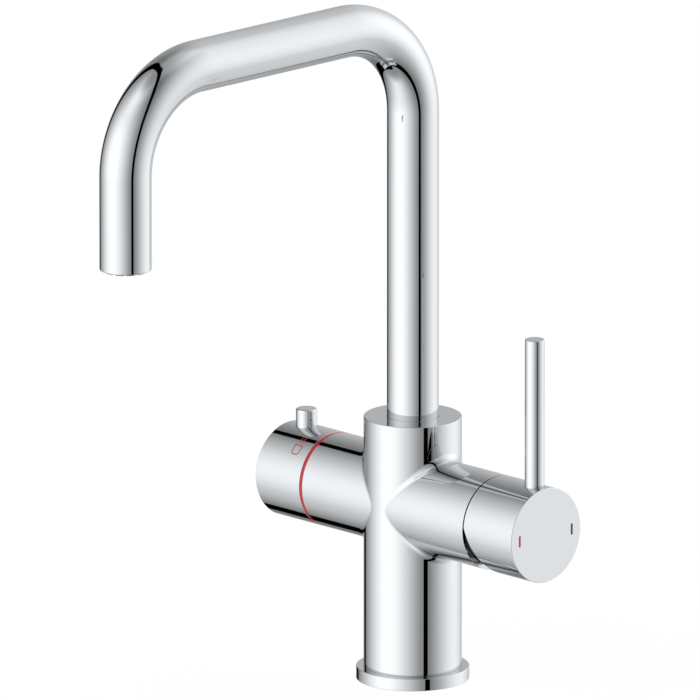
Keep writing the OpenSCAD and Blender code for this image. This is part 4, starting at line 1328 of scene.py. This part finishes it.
@dataclass
class BoilingKnob:
    """Knob with its safety button, and the coloured ring beside it."""

    near: float = -58.0
    far: float = -90.0
    radius: float = 24.5
    bore: float = 22.3
    floor: float = -87.0
    button_x: float = -78.0
    button_r: float = 5.4
    button_top: float = 126.5
    flange_top: float = 113.8
    screw_x: float = -69.3
    bend: float = 0.3

    def knob(self) -> Skin:
        """Draws the knob.

        Returns:
            Its skin.
        """
        skin = Skin()
        button = CrossHole(self.button_x, self.button_r + 0.08, self.radius - self.bore + 0.2, True, 0.2)
        screw = CrossHole(self.screw_x, 2.6, 2.4, False, 0.15)
        start = -1.5 * math.pi
        holes = [button.cut(skin, self.radius), screw.cut(skin, self.radius)]
        holes = [np.column_stack([(h[:, 0] - start) % FULL_TURN + start, h[:, 1]]) for h in holes]
        angles = start + ring_angles(200)
        low, high = self.far + self.bend + 0.1, self.near - self.bend
        places = np.linspace(low, high, 24)
        outline = np.concatenate([
            np.column_stack([angles[:-1], np.full(200, low)]),
            np.column_stack([np.full(23, angles[-1]), places[:-1]]),
            np.column_stack([angles[:0:-1], np.full(200, high)]),
            np.column_stack([np.full(23, angles[0]), places[:0:-1]])])
        skin.wall(ARM_AXIS, self.radius, outline, holes, 1.3)
        skin.lathe(ARM_AXIS, [Corner(self.radius, high), Corner(self.radius, self.near, self.bend),
                              Corner(self.bore, self.near, 0.15), Corner(self.bore, self.floor),
                              Corner(0.0, self.floor)], angles=angles)
        skin.lathe(ARM_AXIS, [Corner(0.0, self.far), Corner(self.radius, self.far, self.bend + 0.1),
                              Corner(self.radius, low)], angles=angles)
        return skin

    def dress(self) -> None:
        """Makes the knob, the button and the coloured ring."""
        Maker.piece("knob_shell", self.knob().mesh("knob_shell"), Part.KNOB, Slot.CHROME, ["boil_knob"])
        press = Skin()
        press.lathe(Axis(Way.UP, self.button_x), [
            Corner(0.0, 106.6), Corner(3.0, 106.6, 0.2), Corner(3.0, self.flange_top - 2.0),
            Corner(self.button_r + 1.4, self.flange_top - 2.0, 0.15),
            Corner(self.button_r + 1.4, self.flange_top, 0.15), Corner(self.button_r, self.flange_top),
            Corner(self.button_r, self.button_top, 0.9),
            Corner(0.0, self.button_top)], sides=128)
        Maker.piece("push_button", press.mesh("push_button"), Part.BUTTON, Slot.CHROME, ["safety_button"])
        band = Skin()
        band.lathe(ARM_AXIS, [
            Corner(24.5, -57.8, 0.12), Corner(24.5, -55.8, 0.12), Corner(19.95, -55.8), Corner(19.95, -52.0, 0.2),
            Corner(18.6, -52.0, 0.2), Corner(18.6, -57.8, 0.1)], closed=True, sides=240)
        Maker.piece("colour_band", band.mesh("colour_band"), Part.TAP, Slot.RED, ["red_ring"])


@dataclass(frozen=True)
class SetScrew:
    """Set screw with a hexagonal socket and a fine thread, in the place of a CAD node."""

    node: str
    part: Part
    radius: float
    socket_r: float
    socket_depth: float
    faces_back: bool = False
    pitch: float = 0.5
    thread_rise: float = 0.2
    sides: int = 48

    def _core(self, length: float) -> Skin:
        """Draws the screw without its thread, socket end down, on the upright axis.

        Args:
            length: its length.

        Returns:
            Its skin.
        """
        core = self.radius - self.thread_rise
        rim = core - 0.25
        skin = Skin()
        corners = circle((0.0, 0.0), self.socket_r, 6)
        skin.flat_plate([circle((0.0, 0.0), rim, self.sides), corners], 0.0, (0.0, 0.0, -1.0))
        skin.lathe(COLUMN_AXIS, [
            Corner(rim, 0.0), Corner(core, 0.25), Corner(core, length - 0.35), Corner(core - 0.35, length),
            Corner(0.0, length)], sides=self.sides)
        foot = np.column_stack([corners, np.zeros(6)])
        deep = foot + [0.0, 0.0, self.socket_depth]
        for i in range(6):
            pair = [i, (i + 1) % 6]
            inward = -foot[pair].mean(0)
            skin.sheet(foot[pair], deep[pair], inward / np.linalg.norm(inward))
        around = [0, 1, 2, 3, 4, 5, 0]
        tip = np.zeros((7, 3)) + [0.0, 0.0, self.socket_depth + 0.4 * self.socket_r]
        skin.sheet(deep[around], tip, np.array([0.0, 0.0, -1.0]))
        return skin

    def dress(self, tree: bpy.types.NodeTree) -> None:
        """Makes the screw.

        Args:
            tree: the tree that winds its thread.
        """
        low, high = (np.array(corner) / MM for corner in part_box(self.node))
        middle = (low + high) / 2
        length = (high - low)[1 if self.faces_back else 2]
        made = Maker.grown(self.node + "_threaded", self._core(length).mesh(self.node + "_core"), tree, {
            "Coil Radius": (self.radius - self.thread_rise) * MM, "Coil Height": (length - 1.4) * MM,
            "Turns": (length - 1.4) / self.pitch, "Wire Radius": self.thread_rise * MM, "Wire Sides": 3,
            "Steps": 24, "Finish": PAINTS.get(Slot.STEEL)})
        for vertex in made.vertices[self._core(length).size():]:
            vertex.co.z += 0.6 * MM
        if self.faces_back:
            made.transform(Matrix.Translation(Vector((middle[0], high[1], middle[2])) * MM)
                           @ Matrix.Rotation(math.pi / 2, 4, "X"))
        else:
            made.transform(Matrix.Translation(Vector((middle[0], middle[1], low[2])) * MM))
        Maker.piece(self.node + "_threaded", made, self.part, Slot.STEEL, [self.node])


@dataclass
class ButtonSpring:
    """Return spring under the safety button; the real one shortens as the button goes down, but this one is wound at
    its free height and rides on the knob.
    """

    x: float = -78.0
    foot: float = 99.2
    top: float = 106.5
    coil_r: float = 2.8
    wire_r: float = 0.35
    turns: float = 4.0
    travel: float = 2.5

    def dress(self, tree: bpy.types.NodeTree) -> None:
        """Makes the spring.

        Args:
            tree: the tree that winds it.
        """
        free = self.top - self.foot
        made = Maker.grown("return_spring", bpy.data.meshes.new("spring_seed"), tree, {
            "Coil Radius": self.coil_r * MM, "Coil Height": (free - 2 * self.wire_r) * MM, "Turns": self.turns,
            "Wire Radius": self.wire_r * MM, "Wire Sides": 14, "Steps": 36, "Finish": PAINTS.get(Slot.STEEL)})
        made.transform(Matrix.Translation(Vector((self.x, 0.0, self.foot + self.wire_r)) * MM))
        spring = Maker.piece("return_spring", made, Part.KNOB, Slot.STEEL, ["button_spring"])
        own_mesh(spring)


# ---------------------------------------------------------------- CAD nodes that stay as they are


class CarriedNodes:
    """Gives every CAD node that is shown the finish of its slot."""

    @staticmethod
    def dress() -> None:
        """Assigns the materials."""
        slots = {row["node"]: Slot(row["material_slot"]) for row in frame["record"]["subparts"]}
        for name, node in frame["nodes"].items():
            node.data.materials.clear()
            node.data.materials.append(PAINTS.get(slots[name]))
        log.info("%d carried nodes dressed", len(slots))


# ---------------------------------------------------------------- studio


@dataclass(frozen=True)
class SoftBox:
    """A curved soft box: its shades round the compass, and how they fall off up and down.

    A shade is the display value, 0 to 255, that the tap's chrome shows of it.
    """

    shades: tuple[tuple[float, float], ...]
    middle: float
    top: float
    falloff: float
    low_level: float = 0.0
    low_slope: float = 0.0


@dataclass
class Studio:
    """Two curved soft boxes with dark seams between them, a white floor, and the camera."""

    azimuth: float = 46.19
    elevation: float = 14.61
    lens: float = 1690.0
    scale: float = 1966.4
    centre_x: float = 412.68
    centre_y: float = 676.64
    near_seam: float = 76.2
    near_seam_half: float = 0.087
    far_seam: float = 256.2
    far_seam_lean: float = 9.0
    far_seam_bow: float = -7.2
    far_seam_half: float = 0.128
    seam_half_above: float = 0.047
    seam_blur: float = 0.015
    seam_drift: float = 0.09
    seam_drift_most: float = 0.065
    pole_start: float = 0.70
    pole_shade: float = 147.0
    pole_tilt: float = 1.35
    right_box: SoftBox = SoftBox((
        (6, 119), (16, 142), (28, 169), (42, 198), (58, 222), (76, 238), (90, 241), (106, 231), (122, 206),
        (140, 187), (156, 151), (172, 124)), 0.16, 1.21, 1.07, 0.80, 0.6)
    left_box: SoftBox = SoftBox((
        (184, 125), (194, 150), (206, 176), (220, 205), (234, 230), (248, 250), (262, 261), (278, 258),
        (292, 248), (306, 229), (320, 204), (334, 175), (346, 145), (354, 134)), 0.05, 1.05, 0.70, 0.83, 0.1)

    def _box_light(self, graph: Graph, turn: Wire, rise: Wire, box: SoftBox) -> Wire:
        """The light of one soft box, evened out straight above and below.

        Args:
            graph: the world's graph.
            turn: compass angle from the near seam, 0 to 360.
            rise: sine of the height above the horizon.
            box: the soft box.

        Returns:
            Its light in every direction.
        """
        stops = [(angle / 360.0, (self._linear(shade),) * 3) for angle, shade in box.shades]
        level = graph.out(graph.node("ShaderNodeValToRGB", {"stops": stops}, {0: turn / 360.0}))
        high = rise - box.middle
        low = graph.math("MINIMUM", rise + 0.5, 0.0) * box.low_slope + box.low_level
        level = level * graph.math("MAXIMUM", box.top - box.falloff * (high * high), low)
        pole = graph.math("MAXIMUM", (rise * rise - self.pole_start) / (1.0 - self.pole_start), 0.0)
        pole = pole * pole * (3.0 - 2.0 * pole)
        aside = graph.math("SINE", turn * math.radians(1.0)) * graph.math("SQRT", 1.0 - rise * rise)
        overhead = self._linear(self.pole_shade) * (1.0 + self.pole_tilt * aside)
        return level * (1.0 - pole) + overhead * pole

    def _lit(self, graph: Graph, away: Wire, rise: Wire, drift: Wire, half: float) -> Wire:
        """1 outside a dark seam and 0 in it. The seams drift sideways as they rise, and meet near the zenith.

        Args:
            graph: the world's graph.
            away: compass angle from the seam's middle, in degrees, positive where it drifts to.
            rise: sine of the height above the horizon.
            drift: how far the seam has drifted at this height.
            half: half its width at the horizon and below.

        Returns:
            The mask.
        """
        level = graph.math("SQRT", 1.0 - rise * rise)
        turned = graph.math("MAXIMUM", graph.math("MINIMUM", away, 90.0), -90.0)
        drift = graph.math("MINIMUM", drift * self.seam_drift, self.seam_drift_most)
        off = graph.math("ABSOLUTE", graph.math("SINE", turned * math.radians(1.0)) * level - drift)
        width = half - (half - self.seam_half_above) * graph.math("MAXIMUM", rise, 0.0)
        return graph.math("MINIMUM", graph.math("MAXIMUM", (off - width) / self.seam_blur + 0.5, 0.0), 1.0)

    def world(self) -> None:
        """Lights the tap by soft boxes whose brightness follows the compass direction."""
        made = bpy.data.worlds.new("studio")
        bpy.context.scene.world = made
        made.use_nodes = True
        graph = Graph(made.node_tree)
        way = graph.node("ShaderNodeSeparateXYZ", {}, {0: graph.out(graph.node("ShaderNodeTexCoord"), "Generated")})
        rise = graph.out(way, 2)
        compass = graph.math("ARCTAN2", graph.out(way, 0), 0.0 - graph.out(way, 1)) / FULL_TURN
        turn = graph.math("FRACT", compass - self.near_seam / 360.0) * 360.0
        near_drift = rise * graph.math("ABSOLUTE", rise)
        seam = self.far_seam - self.near_seam + rise * self.far_seam_lean + near_drift * self.far_seam_bow
        past = turn > seam
        right = self._box_light(graph, turn, rise, self.right_box)
        left = self._box_light(graph, turn, rise, self.left_box)
        far = turn - seam
        near = (turn > 180.0) * 360.0 - turn
        far_drift = graph.math("POWER", graph.math("MAXIMUM", rise, 0.0), 6.0)
        lit = (self._lit(graph, far, rise, far_drift, self.far_seam_half)
               * self._lit(graph, near, rise, near_drift, self.near_seam_half))
        boxes = lit * (past * left + (1.0 - past) * right)
        path = graph.node("ShaderNodeLightPath")
        mirrored = boxes * (1.0 + graph.out(path, "Is Glossy Ray") * (1.0 / CHROME[1] - 1.0))
        shown = graph.out(path, "Is Camera Ray")
        light = graph.node("ShaderNodeBackground", {}, {
            "Color": (1.0, 1.0, 1.0, 1.0), "Strength": shown + (1.0 - shown) * mirrored})
        graph.node("ShaderNodeOutputWorld", {}, {"Surface": graph.out(light)})

    @staticmethod
    def _linear(shade: float) -> float:
        """Light of a display value from 0 to 255."""
        value = shade / 255.0
        return value / 12.92 if value <= 0.04045 else ((value + 0.055) / 1.055) ** 2.4

    def floor(self) -> None:
        """Lays the white floor, which keeps a faint shadow."""
        size = 12.0
        mesh = bpy.data.meshes.new("floor")
        mesh.from_pydata([(-size, -size, -0.0001), (size, -size, -0.0001), (size, size, -0.0001),
                          (-size, size, -0.0001)], [], [(0, 1, 2, 3)])
        made = bpy.data.objects.new("floor", mesh)
        bpy.context.scene.collection.objects.link(made)
        paint = bpy.data.materials.new("floor_white")
        paint.use_nodes = True
        graph = Graph(paint.node_tree)
        matt = graph.node("ShaderNodeBsdfDiffuse", {}, {"Color": (0.25, 0.25, 0.25, 1.0)})
        glow = graph.node("ShaderNodeEmission", {}, {"Color": (1.0, 1.0, 1.0, 1.0), "Strength": 0.88})
        both = graph.node("ShaderNodeAddShader")
        graph.tree.links.new(matt.outputs[0], both.inputs[0])
        graph.tree.links.new(glow.outputs[0], both.inputs[1])
        plain = graph.node("ShaderNodeBsdfDiffuse", {}, {"Color": (0.8, 0.8, 0.8, 1.0)})
        shown = graph.out(graph.node("ShaderNodeLightPath"), "Is Camera Ray")
        pick = graph.node("ShaderNodeMixShader", {}, {0: shown})
        graph.tree.links.new(plain.outputs[0], pick.inputs[1])
        graph.tree.links.new(both.outputs[0], pick.inputs[2])
        clear = graph.node("ShaderNodeBsdfTransparent")
        under = graph.out(graph.node("ShaderNodeNewGeometry"), "Backfacing")
        sided = graph.node("ShaderNodeMixShader", {}, {0: under})
        graph.tree.links.new(pick.outputs[0], sided.inputs[1])
        graph.tree.links.new(clear.outputs[0], sided.inputs[2])
        graph.node("ShaderNodeOutputMaterial", {}, {"Surface": graph.out(sided)})
        mesh.materials.append(paint)
        made.visible_glossy = False

    def camera(self) -> None:
        """Puts the camera where the photograph was taken from."""
        a, e = math.radians(self.azimuth), math.radians(self.elevation)
        right = Vector((math.cos(a), math.sin(a), 0.0))
        rise = Vector((-math.sin(a) * math.sin(e), math.cos(a) * math.sin(e), math.cos(e)))
        back = Vector((math.sin(a) * math.cos(e), -math.cos(a) * math.cos(e), math.sin(e)))
        target = right * ((350.0 - self.centre_x) / self.scale) + rise * ((self.centre_y - 350.0) / self.scale)
        data = bpy.data.cameras.new("camera")
        data.lens = self.lens
        data.sensor_width = 36.0
        distance = 350.0 / self.scale * self.lens / 18.0
        data.clip_start = 0.1
        data.clip_end = 100.0
        made = bpy.data.objects.new("camera", data)
        made.location = target + back * distance
        made.rotation_euler = back.to_track_quat("Z", "Y").to_euler()
        bpy.context.scene.collection.objects.link(made)
        bpy.context.scene.camera = made

    def dress(self) -> None:
        """Sets up the light, the floor and the camera."""
        self.world()
        self.floor()
        self.camera()
        bpy.context.scene.view_settings.view_transform = "Standard"


def main() -> None:
    """Builds the studio and every piece of the tap."""
    logging.basicConfig(level=logging.INFO, format="%(message)s")
    Studio().dress()
    CarriedNodes.dress()
    Column().dress()
    Spout().dress()
    MixerHandle().dress()
    BoilingKnob().dress()
    Nozzle().dress()
    winding = wound_wire()
    for screw in (SetScrew("spout_grub_screw", Part.TAP, 2.1, 1.3, 2.2, True),
                  SetScrew("knob_grub_screw", Part.KNOB, 2.0, 1.1, 2.5),
                  SetScrew("handle_grub_screw", Part.HANDLE, 2.5, 1.5, 3.5)):
        screw.dress(winding)
    ButtonSpring().dress(winding)


if __name__ == "__main__":
    main()
